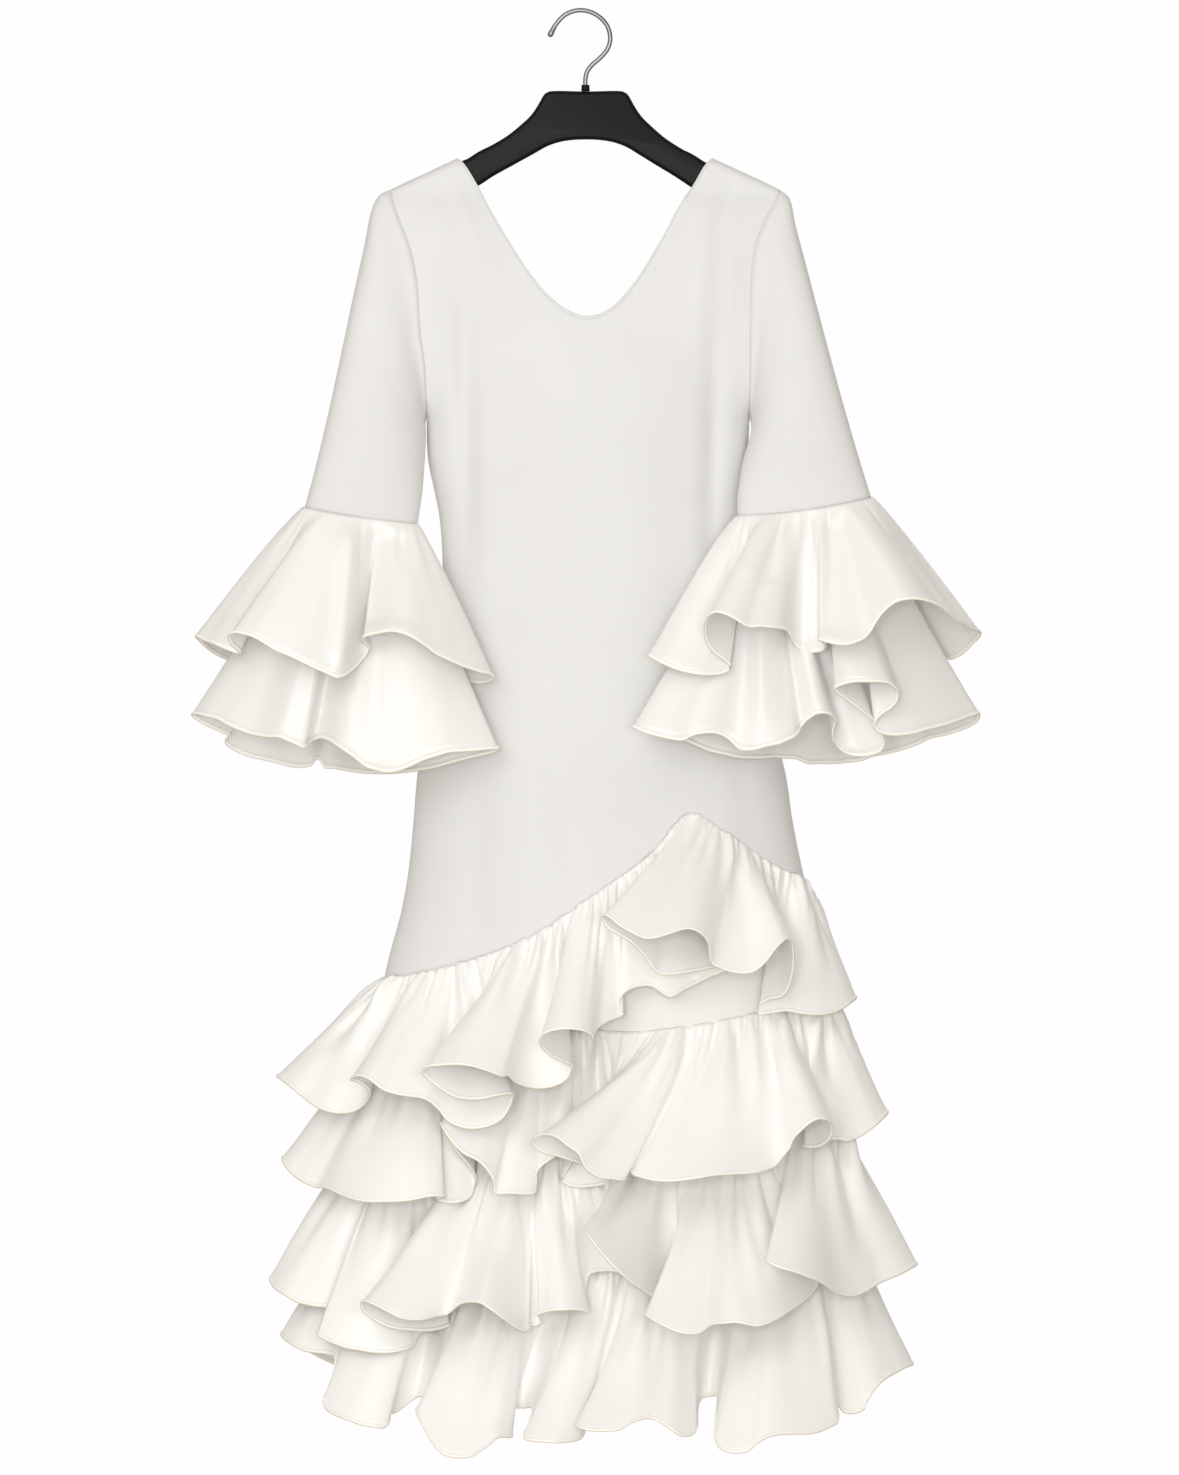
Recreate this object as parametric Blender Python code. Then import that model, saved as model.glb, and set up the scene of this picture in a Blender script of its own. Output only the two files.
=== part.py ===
# A long white flamenco dress on a black hanger. All tables are in millimetres:
# x to the right of the dress's middle line, down below the hook's seat, fore towards the front.
import math

import bpy
from mathutils import Vector

MM = 0.001
CENTRE_X = 5.0  # the dress's middle line is this far right of the hook's seat
CLOTH = 1.6  # wall of the panels and sleeves
RUFFLE = 1.1  # wall of ruffles and flounces
SEAM_GAP = 0.5
STAND_OFF = CLOTH / 2 + RUFFLE / 2 + 1.6  # a sewing line's height over the panel
SIDE_GAP = 0.2
HEM_STEP, FLOUNCE_STEP = 24.0, 22.0

for thing in list(bpy.data.objects):
    bpy.data.objects.remove(thing)


def material(name, colour, roughness, metallic=0.0):
    made = bpy.data.materials.new(name)
    made.use_nodes = True
    shader = made.node_tree.nodes["Principled BSDF"]
    shader.inputs["Base Color"].default_value = (*colour, 1.0)
    shader.inputs["Roughness"].default_value = roughness
    shader.inputs["Metallic"].default_value = metallic
    return made


CREPE = material("ivory_crepe", (0.86, 0.84, 0.79), 0.6)
PLASTIC = material("black_plastic", (0.013, 0.013, 0.014), 0.4)
STEEL = material("hook_steel", (0.6, 0.6, 0.6), 0.3, 1.0)


# ---------------------------------------------------------------- shared shapes
def at(rows, place, column):
    """The column's value where the first column is place, straight between rows."""
    if place <= rows[0][0]:
        return rows[0][column]
    for low, high in zip(rows, rows[1:]):
        if place <= high[0]:
            share = (place - low[0]) / (high[0] - low[0])
            return low[column] + share * (high[column] - low[column])
    return rows[-1][column]


def smooth(points, step, closed):
    """A curve through the points, with samples about a step apart, and where each point fell."""
    count = len(points)
    spans = count if closed else count - 1
    samples, marks = [], []
    for i in range(spans):
        if closed:
            p = [points[(i + k) % count] for k in (-1, 0, 1, 2)]
        else:
            p = [points[min(max(i + k, 0), count - 1)] for k in (-1, 0, 1, 2)]
        gaps = [max((b - a).length ** 0.5, 1e-3) for a, b in zip(p, p[1:])]
        if (p[1] - p[0]).length < 1e-6:
            gaps[0] = gaps[1]
            p[0] = p[1] - (p[2] - p[1])
        if (p[3] - p[2]).length < 1e-6:
            gaps[2] = gaps[1]
            p[3] = p[2] + (p[2] - p[1])
        a, b, c = gaps
        start = b * ((p[1] - p[0]) / a - (p[2] - p[0]) / (a + b) + (p[2] - p[1]) / b)
        end = b * ((p[2] - p[1]) / b - (p[3] - p[1]) / (b + c) + (p[3] - p[2]) / c)
        parts = max(1, round((p[2] - p[1]).length / step))
        marks.append(len(samples))
        for j in range(parts):
            t = j / parts
            samples.append(
                (2 * t**3 - 3 * t**2 + 1) * p[1]
                + (t**3 - 2 * t**2 + t) * start
                + (3 * t**2 - 2 * t**3) * p[2]
                + (t**3 - t**2) * end
            )
    if not closed:
        marks.append(len(samples))
        samples.append(points[-1].copy())
    return samples, marks


def along(samples, shares):
    """Points of the curve at these shares of its length."""
    reach = [0.0]
    for a, b in zip(samples, samples[1:]):
        reach.append(reach[-1] + (b - a).length)
    rows = [(r, i) for i, r in enumerate(reach)]
    found = []
    for share in shares:
        place = at(rows, share * reach[-1], 1)
        low = min(int(place), len(samples) - 2)
        found.append(samples[low].lerp(samples[low + 1], place - low))
    return found


def finish(name, verts, faces, shade, slot):
    volume = 0.0
    for face in faces:
        a = verts[face[0]]
        for k in range(1, len(face) - 1):
            volume += a.dot(verts[face[k]].cross(verts[face[k + 1]]))
    if volume < 0:
        faces = [tuple(reversed(face)) for face in faces]
    mesh = bpy.data.meshes.new(name)
    mesh.from_pydata([tuple(v) for v in verts], [], faces)
    mesh.materials.append(slot)
    if shade:
        mesh.shade_smooth()
    made = bpy.data.objects.new(name, mesh)
    bpy.context.scene.collection.objects.link(made)
    return made


def wall(name, grid, thickness, closed):
    """A wall of this thickness round a grid of rows of (x, down, fore) points."""
    rows, cols = len(grid), len(grid[0])
    place = [[Vector((p[0] + CENTRE_X, -p[2], -p[1])) for p in row] for row in grid]
    normals = []
    for j in range(rows):
        for i in range(cols):
            if closed:
                east = place[j][(i + 1) % cols] - place[j][i - 1]
            else:
                east = place[j][min(i + 1, cols - 1)] - place[j][max(i - 1, 0)]
            south = place[min(j + 1, rows - 1)][i] - place[max(j - 1, 0)][i]
            normal = east.cross(south)
            if abs(grid[j][i][2]) < 2 * SIDE_GAP and not closed:
                normal.y = 0.0
            normals.append(normal.normalized())
    verts = []
    for side in (0.5, -0.5):
        for j in range(rows):
            for i in range(cols):
                here = normals[j * cols + i]
                beside = [(j, (i + 1) % cols), (j, i - 1)] if closed else [(j, i)]
                beside += [(min(j + 1, rows - 1), i), (max(j - 1, 0), i)]
                turn = min(here.dot(normals[r * cols + c % cols]) for r, c in beside)
                # thinner where the cloth turns sharply, so that its faces stay apart
                thin = min(1.0, 0.4 + max(turn, 0.0)) if closed else 1.0
                verts.append((place[j][i] + here * thickness * side * thin) * MM)
    layer = rows * cols
    faces = []
    for j in range(rows - 1):
        for i in range(cols if closed else cols - 1):
            a = j * cols + i
            b = j * cols + (i + 1) % cols
            long = (verts[a] - verts[b + cols]).length > (verts[b] - verts[a + cols]).length
            first = (a, b, a + cols) if long else (a, b, b + cols)
            other = (b, b + cols, a + cols) if long else (a, b + cols, a + cols)
            for face in (first, other):
                faces.append(face)
                faces.append(tuple(v + layer for v in reversed(face)))
    rim = []
    for i in range(cols if closed else cols - 1):
        rim.append((i, (i + 1) % cols))
        last = (rows - 1) * cols
        rim.append((last + (i + 1) % cols, last + i))
    if not closed:
        for j in range(rows - 1):
            rim.append(((j + 1) * cols, j * cols))
            rim.append((j * cols + cols - 1, (j + 1) * cols + cols - 1))
    for a, b in rim:
        faces.append((b, a, a + layer, b + layer))
    return finish(name, verts, faces, True, CREPE)


# ---------------------------------------------------------------- the dress's body
# down, left edge, right edge, half depth
BODY = [
    (140, -195, 193, 14),
    (177, -195, 193, 19),
    (202, -188, 181, 26),
    (224, -179, 171, 31),
    (248, -172, 166, 35),
    (273, -168, 164, 39),
    (321, -165, 163.5, 45),
    (350, -161, 163.5, 49),
    (402, -159, 163, 54),
    (447, -157.5, 161, 55),
    (474, -152, 158, 55),
    (505, -146, 156, 55),
    (552, -143, 155, 55),
    (607, -145, 159, 57),
    (687, -156, 179, 62),
    (760, -168, 199, 66),
    (807, -172, 206, 68),
    (857, -177, 216, 70),
    (897, -184, 226, 72),
    (965, -201, 243, 74),
    (1060, -208, 250, 78),
    (1160, -214, 256, 82),
    (1270, -221, 262, 86),
]
# the neck edge: x, down, from the left shoulder to the right
NECK = [
    (-195, 177),
    (-128, 145.5),
    (-122, 151),
    (-109, 172),
    (-96, 197),
    (-76, 231),
    (-57, 260),
    (-40, 281),
    (-20, 297),
    (1, 304),
    (22, 298),
    (45, 275),
    (62, 250),
    (79, 221),
    (94, 192),
    (107, 173),
    (120, 151),
    (126, 145.5),
    (193, 177),
]
SHOULDER_TIP, UNDERARM, ARMHOLE_HALF = 177.0, 402.0, 30.0
SHOULDER_IN, SHOULDER_TOP, SHOULDER_SLOPE = 127.0, 145.5, 0.465
HANGER_ROOM = 9.5  # half the room over the hanger's arm
BACK_NECK_DROP = 5.0


def armhole_fore(down):
    t = (down - SHOULDER_TIP) / (UNDERARM - SHOULDER_TIP)
    return ARMHOLE_HALF * math.sqrt(max(0.0, 1 - (2 * t - 1) ** 2)) if 0 < t < 1 else 0.0


def body_point(u, down):
    """(x, down, fore) of the body's front surface, u from -1 at its left edge to 1."""
    left, right, half = (at(BODY, down, k) for k in (1, 2, 3))
    x = (left + right) / 2 + u * (right - left) / 2
    below = max(0.0, down - SHOULDER_TOP - SHOULDER_SLOPE * (abs(x) - SHOULDER_IN))
    cap = HANGER_ROOM * math.sqrt(1 - (1 - min(below / HANGER_ROOM, 1)) ** 2)
    cap *= 1 - min(max((down - 250) / 120, 0), 1)
    edge = max(armhole_fore(down), cap)
    t = min(max((down - SHOULDER_TIP) / (UNDERARM - SHOULDER_TIP), 0), 1)
    bend = 0.5 + 0.5 * math.sin(math.pi * t)
    full = max(0.0, 1 - abs(u) ** 2) ** bend * min(1, below / 60)
    return Vector((x, down, SIDE_GAP + edge + max(half - edge, 0) * full))


def seam_curve(rows, step=2.5):
    """A tier's sewing line over the body, from one side seam to the other: x, down, fore."""
    flat, _ = smooth([Vector((x, down, 0)) for x, down in rows], step, False)
    found = []
    for n, point in enumerate(flat):
        left, right, half = (at(BODY, point.y, k) for k in (1, 2, 3))
        u = (2 * point.x - left - right) / (right - left)
        u = -1.0 if n == 0 else 1.0 if n == len(flat) - 1 else min(max(u, -1), 1)
        x = (left + right) / 2 + u * ((right - left) / 2 + STAND_OFF)
        fore = (half + STAND_OFF) * math.sqrt(1 - u * u)
        found.append((Vector((x, point.y, fore)), u))
    return found


# sewing lines of the four tiers at the front: x, down
TIER_SEAM = {
    1: [(-201, 967), (-153, 958), (-97, 942), (-46, 919), (10, 881), (63, 843), (104, 801), (137, 819), (181, 849), (218, 867)],
    2: [(-205, 1036), (-120, 1028), (6, 1017), (45, 1019), (89, 1015), (133, 1008), (170, 1000), (246, 984)],
    3: [(-212, 1124), (-100, 1140), (30, 1140), (150, 1125), (252, 1105)],
    4: [(-218, 1220), (-100, 1240), (30, 1250), (150, 1238), (258, 1212)],
}
# the same at the back, where the first line runs straight across
BACK_SEAM = {
    1: [(-201, 967), (-100, 948), (20, 917), (130, 888), (218, 867)],
    2: [(-205, 1036), (-100, 1034), (20, 1022), (130, 1003), (246, 984)],
    3: [(-212, 1124), (-100, 1138), (20, 1142), (150, 1125), (252, 1105)],
    4: [(-218, 1220), (-100, 1240), (20, 1250), (150, 1238), (258, 1212)],
}
PANEL_COLUMNS = [-90, -77, -64, -51, -41, -38.6, -31, -23, -15, -7.5, 0, 7.5, 15, 23, 31, 38.6, 41, 51, 64, 77, 90]
PANEL_TOP = [0.0, 3.0, 9.0]
PANEL_ROWS, FOUNDATION_ROWS = 13, 3


def panel(name, seam_rows, neck_drop, back):
    seam = sorted((u, point.y) for point, u in seam_curve(seam_rows))
    neck = []
    for x, down in NECK:
        left, right = at(BODY, down, 1), at(BODY, down, 2)
        lower = down + neck_drop * max(0.0, 1 - abs(x) / SHOULDER_IN)
        neck.append(((2 * x - left - right) / (right - left), lower))
    neck[0] = (-1.0, neck[0][1])
    neck[-1] = (1.0, neck[-1][1])
    grid = []
    for j in range(PANEL_ROWS + 1):
        row = []
        for angle in PANEL_COLUMNS:
            u = math.sin(math.radians(angle))
            top, foot = at(neck, u, 1), at(seam, u, 1)
            if j < len(PANEL_TOP):
                down = top + PANEL_TOP[j]
            else:
                share = ((j - 2) / (PANEL_ROWS - 2)) ** 1.2
                down = top + PANEL_TOP[2] + share * (foot - top - PANEL_TOP[2])
            point = body_point(u, down)
            row.append((point.x, point.y, -point.z if back else point.z))
        grid.append(row)
    return wall(name, grid, CLOTH, False)


def foundation(name, top_rows, foot_rows, back):
    top = sorted((u, point.y) for point, u in seam_curve(top_rows))
    foot = sorted((u, point.y) for point, u in seam_curve(foot_rows))
    grid = []
    for j in range(FOUNDATION_ROWS + 1):
        row = []
        for angle in PANEL_COLUMNS:
            u = math.sin(math.radians(angle))
            low, high = at(top, u, 1) + SEAM_GAP, at(foot, u, 1) + 8
            point = body_point(u, low + j / FOUNDATION_ROWS * (high - low))
            row.append((point.x, point.y, -point.z if back else point.z))
        grid.append(row)
    return wall(name, grid, CLOTH, False)


panel("front_panel", TIER_SEAM[1], 0.0, False)
panel("back_panel", BACK_SEAM[1], BACK_NECK_DROP, True)
foundation("skirt_foundation_front", TIER_SEAM[1], TIER_SEAM[4], False)
foundation("skirt_foundation_back", BACK_SEAM[1], BACK_SEAM[4], True)

# ---------------------------------------------------------------- the four skirt ruffles
# Each row is one leg of the hem, through its middle to the turn where it ends:
# middle x, down, out from the body; turn x, down, out.
TIER_START = {1: (-309, 1063), 2: (-304, 1145), 3: (-316, 1268), 4: (-305, 1321)}
TIER_LEGS = {
    1: [
        (-264, 1094, 30, -220, 1087, 34),
        (-226, 1074, 54, -234, 1065, 72),
        (-199, 1076, 88, -160, 1085, 74),
        (-112, 1112, 74, -74, 1080, 70),
        (-112, 1084, 88, -163, 1058, 102),
        (-120, 1050, 116, -83, 1061, 104),
        (-46, 1073, 66, -14, 1053, 66),
        (-34, 1042, 84, -46, 1026, 98),
        (-16, 1014, 112, 6, 1020, 92),
        (23, 1006, 58, 38, 1000, 50),
        (63, 972, 46, 85, 982, 44),
        (111, 969, 38, 139, 955, 50),
        (130, 956, 66, 102, 958, 76),
        (60, 942, 80, 26, 910, 91),
        (16, 902, 99, 24, 905, 109),
        (50, 919, 115, 80, 919, 114),
        (106, 915, 112, 123, 939, 100),
        (150, 957, 92, 181, 943, 94),
        (200, 925.5, 98, 207, 945, 82),
        (196, 982, 58, 172, 1000, 42),
        (224, 998, 34, 254, 990, 12),
    ],
    2: [
        (-282, 1165, 14, -262, 1173, 34),
        (-221, 1187, 74, -164, 1184, 68),
        (-138, 1187, 50, -110, 1164, 36),
        (-124, 1143, 48, -145, 1111, 60),
        (-120, 1140, 68, -92, 1170, 66),
        (-72, 1178, 62, -46, 1160, 50),
        (-24, 1172, 34, 38, 1165, 44),
        (-6, 1148, 72, -39, 1130, 87),
        (-47, 1121, 96, -39, 1117, 105),
        (-15, 1124, 113, 13, 1161, 102),
        (40, 1160, 88, 67, 1162, 96),
        (111, 1161, 108, 168, 1156, 92),
        (190, 1148, 80, 205, 1131, 82),
        (229, 1103, 96, 246, 1112, 84),
        (236, 1130, 60, 222, 1137, 40),
        (259, 1127, 20, 286, 1112, 8),
    ],
    3: [
        (-290, 1286, 16, -258, 1292, 22),
        (-260, 1304, 34, -264, 1318, 44),
        (-216, 1335, 54, -170, 1331, 46),
        (-138, 1311, 40, -146, 1309, 58),
        (-188, 1306, 74, -215, 1292, 83),
        (-224, 1284, 92, -216, 1287, 102),
        (-190, 1300, 112, -156, 1303, 92),
        (-138, 1299, 76, -125, 1288, 84),
        (-106, 1286, 104, -76, 1307, 92),
        (-58, 1312, 66, -42, 1300, 62),
        (-20, 1293, 82, 2, 1294, 66),
        (14, 1256, 40, 46, 1272, 36),
        (56, 1272, 44, 50, 1266, 55),
        (28, 1250, 66, 8, 1222, 78),
        (-2, 1212, 88, 3, 1217, 101),
        (24, 1250, 112, 56, 1274, 84),
        (82, 1284, 54, 94, 1287, 57),
        (90, 1290, 68, 80, 1294, 78),
        (64, 1299, 97, 70, 1308, 113),
        (110, 1315, 119, 146, 1307, 104),
        (174, 1308, 98, 202, 1292, 70),
        (220, 1276, 38, 233, 1264, 38),
        (228, 1256, 53, 206, 1253, 70),
        (190, 1248, 80, 183, 1245, 86),
        (178, 1243, 94, 185, 1247, 101),
        (238, 1268, 94, 272, 1279, 46),
        (303, 1264, 14, 320, 1257, 5),
    ],
    4: [
        (-280, 1335, 14, -250, 1339, 20),
        (-250, 1362, 34, -259, 1386, 48),
        (-230, 1403, 72, -198, 1408, 66),
        (-176, 1388, 46, -158, 1382, 50),
        (-160, 1387, 72, -168, 1393, 90),
        (-130, 1436, 112, -86, 1422, 88),
        (-70, 1393, 46, -54, 1391, 50),
        (-57, 1404, 72, -62, 1419, 88),
        (-34, 1424, 98, -10, 1421, 78),
        (4, 1412, 60, 10, 1404, 68),
        (-2, 1404, 84, -10, 1406, 93),
        (-6, 1409, 102, 6, 1412, 108),
        (37, 1410, 110, 63, 1402, 95),
        (90, 1418, 100, 110, 1414, 80),
        (118, 1386, 46, 130, 1380, 48),
        (128, 1404, 70, 130, 1427, 92),
        (154, 1434, 112, 184, 1418, 108),
        (220, 1417, 96, 250, 1407, 76),
        (248, 1390, 38, 262, 1387, 34),
        (277, 1394, 36, 286, 1378, 30),
        (304, 1362, 14, 318, 1356, 5),
    ],
}
TIER_END = {1: (270, 987), 2: (302, 1100), 3: (331, 1251), 4: (327, 1351)}
# the back's waves, from the right side to the left: share of the width each takes
BACK_WAVES = {
    1: [1.0, 1.3, 0.9, 1.2, 0.8, 1.3, 1.0, 0.9],
    2: [0.9, 1.1, 1.4, 0.8, 1.2, 1.0, 1.3, 0.8],
    3: [1.2, 0.9, 1.3, 1.0, 0.8, 1.4, 0.9, 1.1],
    4: [1.0, 1.2, 0.8, 1.3, 1.1, 0.9, 1.2, 1.0],
}
WIDTH_OF_RUFFLE = 165.0
CREST_OUT, TROUGH_OUT = 98.0, 56.0
# how late the cloth swings out on its way down, in the middle, at the left and at the right:
# over 1 it hangs first, and under 1 it springs out at once
FLARE = {1: (1.05, 1.0, 1.0), 2: (1.2, 0.95, 1.12), 3: (1.25, 0.85, 1.0), 4: (1.25, 0.75, 0.95)}
RUFFLE_ROWS = [0.0, 0.18, 0.33, 0.52, 1.0]
GATHER_DEEP = {1: 0.7, 2: 0.7, 3: 0.0, 4: 0.0}


def hem_fore(tier, x, down):
    """Where the hem would lie if it stood off the body by nothing, rounder than the body."""
    left, right = TIER_START[tier][0], TIER_END[tier][0]
    u = (2 * x - left - right) / (right - left)
    return at(BODY, down, 3) * math.sqrt(max(0.0, 1 - u * u))


def back_hem(tier):
    """Control points of the hem across the back, from the right side to the left."""
    (x0, d0), (x1, d1) = TIER_END[tier], TIER_START[tier]
    shares = BACK_WAVES[tier]
    seam = sorted((point.x, point.y) for point, _ in seam_curve(BACK_SEAM[tier]))
    found = []
    place = 0.0
    for n, share in enumerate(shares):
        ends = [place / sum(shares), (place + share) / sum(shares)]
        place += share
        start, stop = (x0 + (x1 - x0) * e for e in ends)
        side = 0.19 * abs(stop - start)
        crest = CREST_OUT + 9 * math.sin(2.3 * n + tier)
        marks = [(start - side, 74), ((start + stop) / 2, crest), (stop + side, 72), (stop, TROUGH_OUT + 4 * math.sin(1.7 * n + tier))]
        if n == 0:
            marks = marks[1:]
        if n == len(shares) - 1:
            marks = marks[:2]
        for x, out in marks:
            edge = min(x - x1, x0 - x)
            out = min(out, 8 + 0.75 * max(edge, 0))
            low = at(seam, x, 1) + math.sqrt(WIDTH_OF_RUFFLE**2 - out**2) - 3
            side_low = d0 + (d1 - d0) * (x - x0) / (x1 - x0)
            near = max(0.0, 1 - edge / 90)
            down = low + (side_low - low) * near
            found.append(Vector((x, down, -(hem_fore(tier, x, down) + out))))
    return found


def front_hem(tier):
    found = []
    for row in TIER_LEGS[tier]:
        for x, down, out in (row[:3], row[3:]):
            found.append(Vector((x, down, hem_fore(tier, x, down) + out)))
    return found


def ruffle_grid(hem, seam, rows, flare, gather):
    """Rows from the sewing line to the hem; hem and seam are rings of (x, down, fore)."""
    grid = []
    count = len(hem)
    left, right = min(p.x for p in seam), max(p.x for p in seam)
    for v in rows:
        row = []
        fade = gather * math.sin(math.pi * min(1, (v + 0.04) / 0.55)) if v < 0.5 else 0.0
        for i in range(count):
            low, high = hem[i], seam[i]
            side = (2 * high.x - left - right) / (right - left)
            bend = flare[0] + (flare[1 if side < 0 else 2] - flare[0]) * side**4
            x = high.x + (low.x - high.x) * v**bend
            fore = high.z + (low.z - high.z) * v**bend
            down = high.y + (low.y - high.y) * v ** (2 - bend**0.5)
            ripple = fade if i % 2 else -fade * 0.3
            run = math.hypot(low.x - high.x, low.z - high.z) or 1.0
            x += ripple * (low.x - high.x) / run
            fore += ripple * (low.z - high.z) / run
            row.append((x, down, fore))
        grid.append(row)
    return grid


def shares_between(samples, first, last):
    reach = [0.0]
    for a, b in zip(samples[first:last], samples[first + 1 : last + 1]):
        reach.append(reach[-1] + (b - a).length)
    return [r / reach[-1] for r in reach]


def tier(number):
    start = Vector((*TIER_START[number], 0))
    end = Vector((*TIER_END[number], 0))
    front = front_hem(number)
    control = [start] + front + [end] + back_hem(number)
    hem, marks = smooth(control, HEM_STEP, True)
    turn = marks[len(front) + 1]
    front_line = [point for point, _ in seam_curve(TIER_SEAM[number])]
    back_line = [Vector((p.x, p.y, -p.z)) for p, _ in seam_curve(BACK_SEAM[number])]
    seam = along(front_line, shares_between(hem, 0, turn))[:-1]
    around = shares_between(hem + [hem[0]], turn, len(hem))
    seam += along(back_line[::-1], around)[:-1]
    grid = ruffle_grid(hem, seam, RUFFLE_ROWS, FLARE[number], GATHER_DEEP[number])
    return wall(f"skirt_ruffle_{number}", grid, RUFFLE, True)


for number in (1, 2, 3, 4):
    tier(number)

# ---------------------------------------------------------------- sleeves
# Rings from the armhole to the cuff: outer x, down; inner x, down; half depth,
# fore of the middle, share of the armhole's curve.
SLEEVE = {
    "left": [
        (-195, 177, -159, 402, 30, 0, 1.0),
        (-206, 182, -161, 410, 31, 0, 0.7),
        (-214, 197, -160.5, 418, 33, 2, 0.4),
        (-221, 232, -160.5, 428, 35, 6, 0.15),
        (-232, 282, -161, 440, 35, 12, 0),
        (-244, 340, -162, 456, 34, 20, 0),
        (-258, 405, -163.5, 476, 31, 29, 0),
        (-271, 460, -166, 495, 27, 38, 0),
        (-281, 497.5, -169, 514, 24, 45, 0),
    ],
    "right": [
        (193, 177, 163, 402, 30, 0, 1.0),
        (203, 185, 165, 409, 31, 1, 0.7),
        (209, 212, 165.5, 414, 33, 5, 0.4),
        (219, 250, 165, 420, 34, 11, 0.15),
        (232, 300, 162.5, 430, 34, 20, 0),
        (246, 353, 158, 446, 33, 29, 0),
        (260, 404, 154, 467, 30, 37, 0),
        (274, 452, 151.5, 488, 27, 42, 0),
        (285, 487.5, 152, 506, 24, 45, 0),
    ],
}
SLEEVE_COLUMNS = 18


def cuff_bow(t, side):
    """The cuff seam dips a little between its ends."""
    return (2.0 if side == "left" else 4.0) * math.sin(math.pi * t)


def sleeve_ring(row, side, count, grow=0.0, lower=0.0, cuff=False):
    outer_x, outer_d, inner_x, inner_d, half, fore, bow = row
    edge = 1 if side == "left" else 2
    ring = []
    for n in range(count):
        turn = 2 * math.pi * n / count
        t = (1 - math.cos(turn)) / 2
        x = outer_x + (inner_x - outer_x) * t
        down = outer_d + (inner_d - outer_d) * t
        deep = fore + (half + grow) * math.sin(turn)
        if bow > 0:
            chord = SLEEVE[side][0][0] + (SLEEVE[side][0][2] - SLEEVE[side][0][0]) * t
            level = SHOULDER_TIP + (UNDERARM - SHOULDER_TIP) * t
            x += bow * (at(BODY, level, edge) - chord)
        if cuff:
            x += grow * math.cos(turn) * (-1 if side == "left" else 1)
            down += cuff_bow(t, side) + lower
        ring.append(Vector((x, down, deep)))
    return ring


def sleeve(side):
    away = -1 if side == "left" else 1
    grid = []
    for n, row in enumerate(SLEEVE[side]):
        ring = sleeve_ring(row, side, SLEEVE_COLUMNS, cuff=n == len(SLEEVE[side]) - 1)
        if n == 0:
            ring = [Vector((p.x + away * 2.0, p.y, p.z)) for p in ring]
        grid.append([tuple(p) for p in ring])
    return wall(f"{side}_sleeve", grid, CLOTH, True)


for side in ("left", "right"):
    sleeve(side)

# ---------------------------------------------------------------- cuff flounces
# Closed hems, from the outer tip (left sleeve) or inner tip (right sleeve) round the
# front and back again: middle x, down, fore; turn x, down, fore.
FLOUNCE_START = {
    "left_upper": (-390, 623, 24),
    "left_lower": (-394, 702, 14),
    "right_upper": (62, 643, 94),
    "right_lower": (46, 714, 102),
}
FLOUNCE_LEGS = {
    "left_upper": [
        (-370, 632, 56, -346, 641, 66),
        (-349, 632, 82, -356, 624, 98),
        (-307, 638, 130, -255, 661, 126),
        (-236, 662, 118, -226, 642, 106),
        (-222, 636, 106, -216, 629, 116),
        (-195, 620, 134, -154, 637, 134),
        (-125, 655, 122, -92, 665, 96),
        (-108, 671, 66, -138, 668, 48),
        (-168, 655, 38, -205, 645, 8),
        (-232, 642, -24, -262, 650, -42),
        (-292, 652, -34, -318, 648, -22),
        (-346, 652, -34, -372, 640, -14),
    ],
    "left_lower": [
        (-367, 707, 46, -332, 722, 68),
        (-304, 725, 92, -281, 735, 86),
        (-273, 728, 66, -264, 725, 74),
        (-242, 736, 98, -219, 754, 104),
        (-195, 760, 110, -169, 750, 112),
        (-136, 739, 112, -87, 736, 96),
        (-110, 742, 80, -150, 754, 70),
        (-182, 758, 52, -214, 760, 22),
        (-240, 758, -2, -264, 755, -14),
        (-287, 754, -26, -310, 750, -18),
        (-337, 743, -24, -360, 731, -14),
    ],
    "right_upper": [
        (91, 657, 110, 122, 663, 106),
        (144, 655, 100, 136, 640, 112),
        (119, 616, 128, 130, 600, 144),
        (146, 606, 152, 163, 615, 146),
        (190, 615, 136, 217, 618, 120),
        (216, 633, 104, 230, 639, 106),
        (238, 633, 114, 234, 628, 128),
        (250, 632, 140, 275, 628, 134),
        (290, 608, 132, 314, 588, 142),
        (345, 592, 126, 368, 607, 100),
        (384, 616, 70, 394, 619, 44),
        (388, 630, 16, 365, 645, -10),
        (335, 642, -38, 305, 647, -26),
        (272, 650, -40, 240, 650, -26),
        (208, 650, -8, 180, 654, 14),
        (150, 656, 34, 122, 658, 46),
        (90, 654, 62),
    ],
    "right_lower": [
        (68, 720, 117, 97, 726, 113),
        (116, 720, 112, 135, 721, 108),
        (149, 729, 106, 160, 737, 110),
        (184, 733, 114, 210, 723, 104),
        (216, 712, 94, 223, 704, 98),
        (234, 700, 102, 246, 706, 88),
        (247, 726, 66, 268, 743, 58),
        (288, 734, 70, 276, 704, 88),
        (262, 688, 100, 258, 675, 112),
        (284, 667, 120, 310, 676, 104),
        (308, 702, 80, 322, 717, 70),
        (356, 711, 52, 393, 701, 18),
        (382, 714, -4, 358, 722, -20),
        (332, 731, -28, 306, 739, -18),
        (276, 747, -28, 248, 750, -14),
        (222, 750, 2, 200, 745, 16),
        (176, 745, 42, 150, 744, 62),
        (94, 733, 84),
    ],
}
FLOUNCE_ROWS = [0.0, 0.3, 0.64, 1.0]
# how far outside the cuff each begins, and how far below its edge
FLOUNCE_TOP = {"upper": (0.3, 1.0), "lower": (-1.8, 1.2)}
FLOUNCE_FLARE = {"upper": 0.95, "lower": 1.12}


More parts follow.
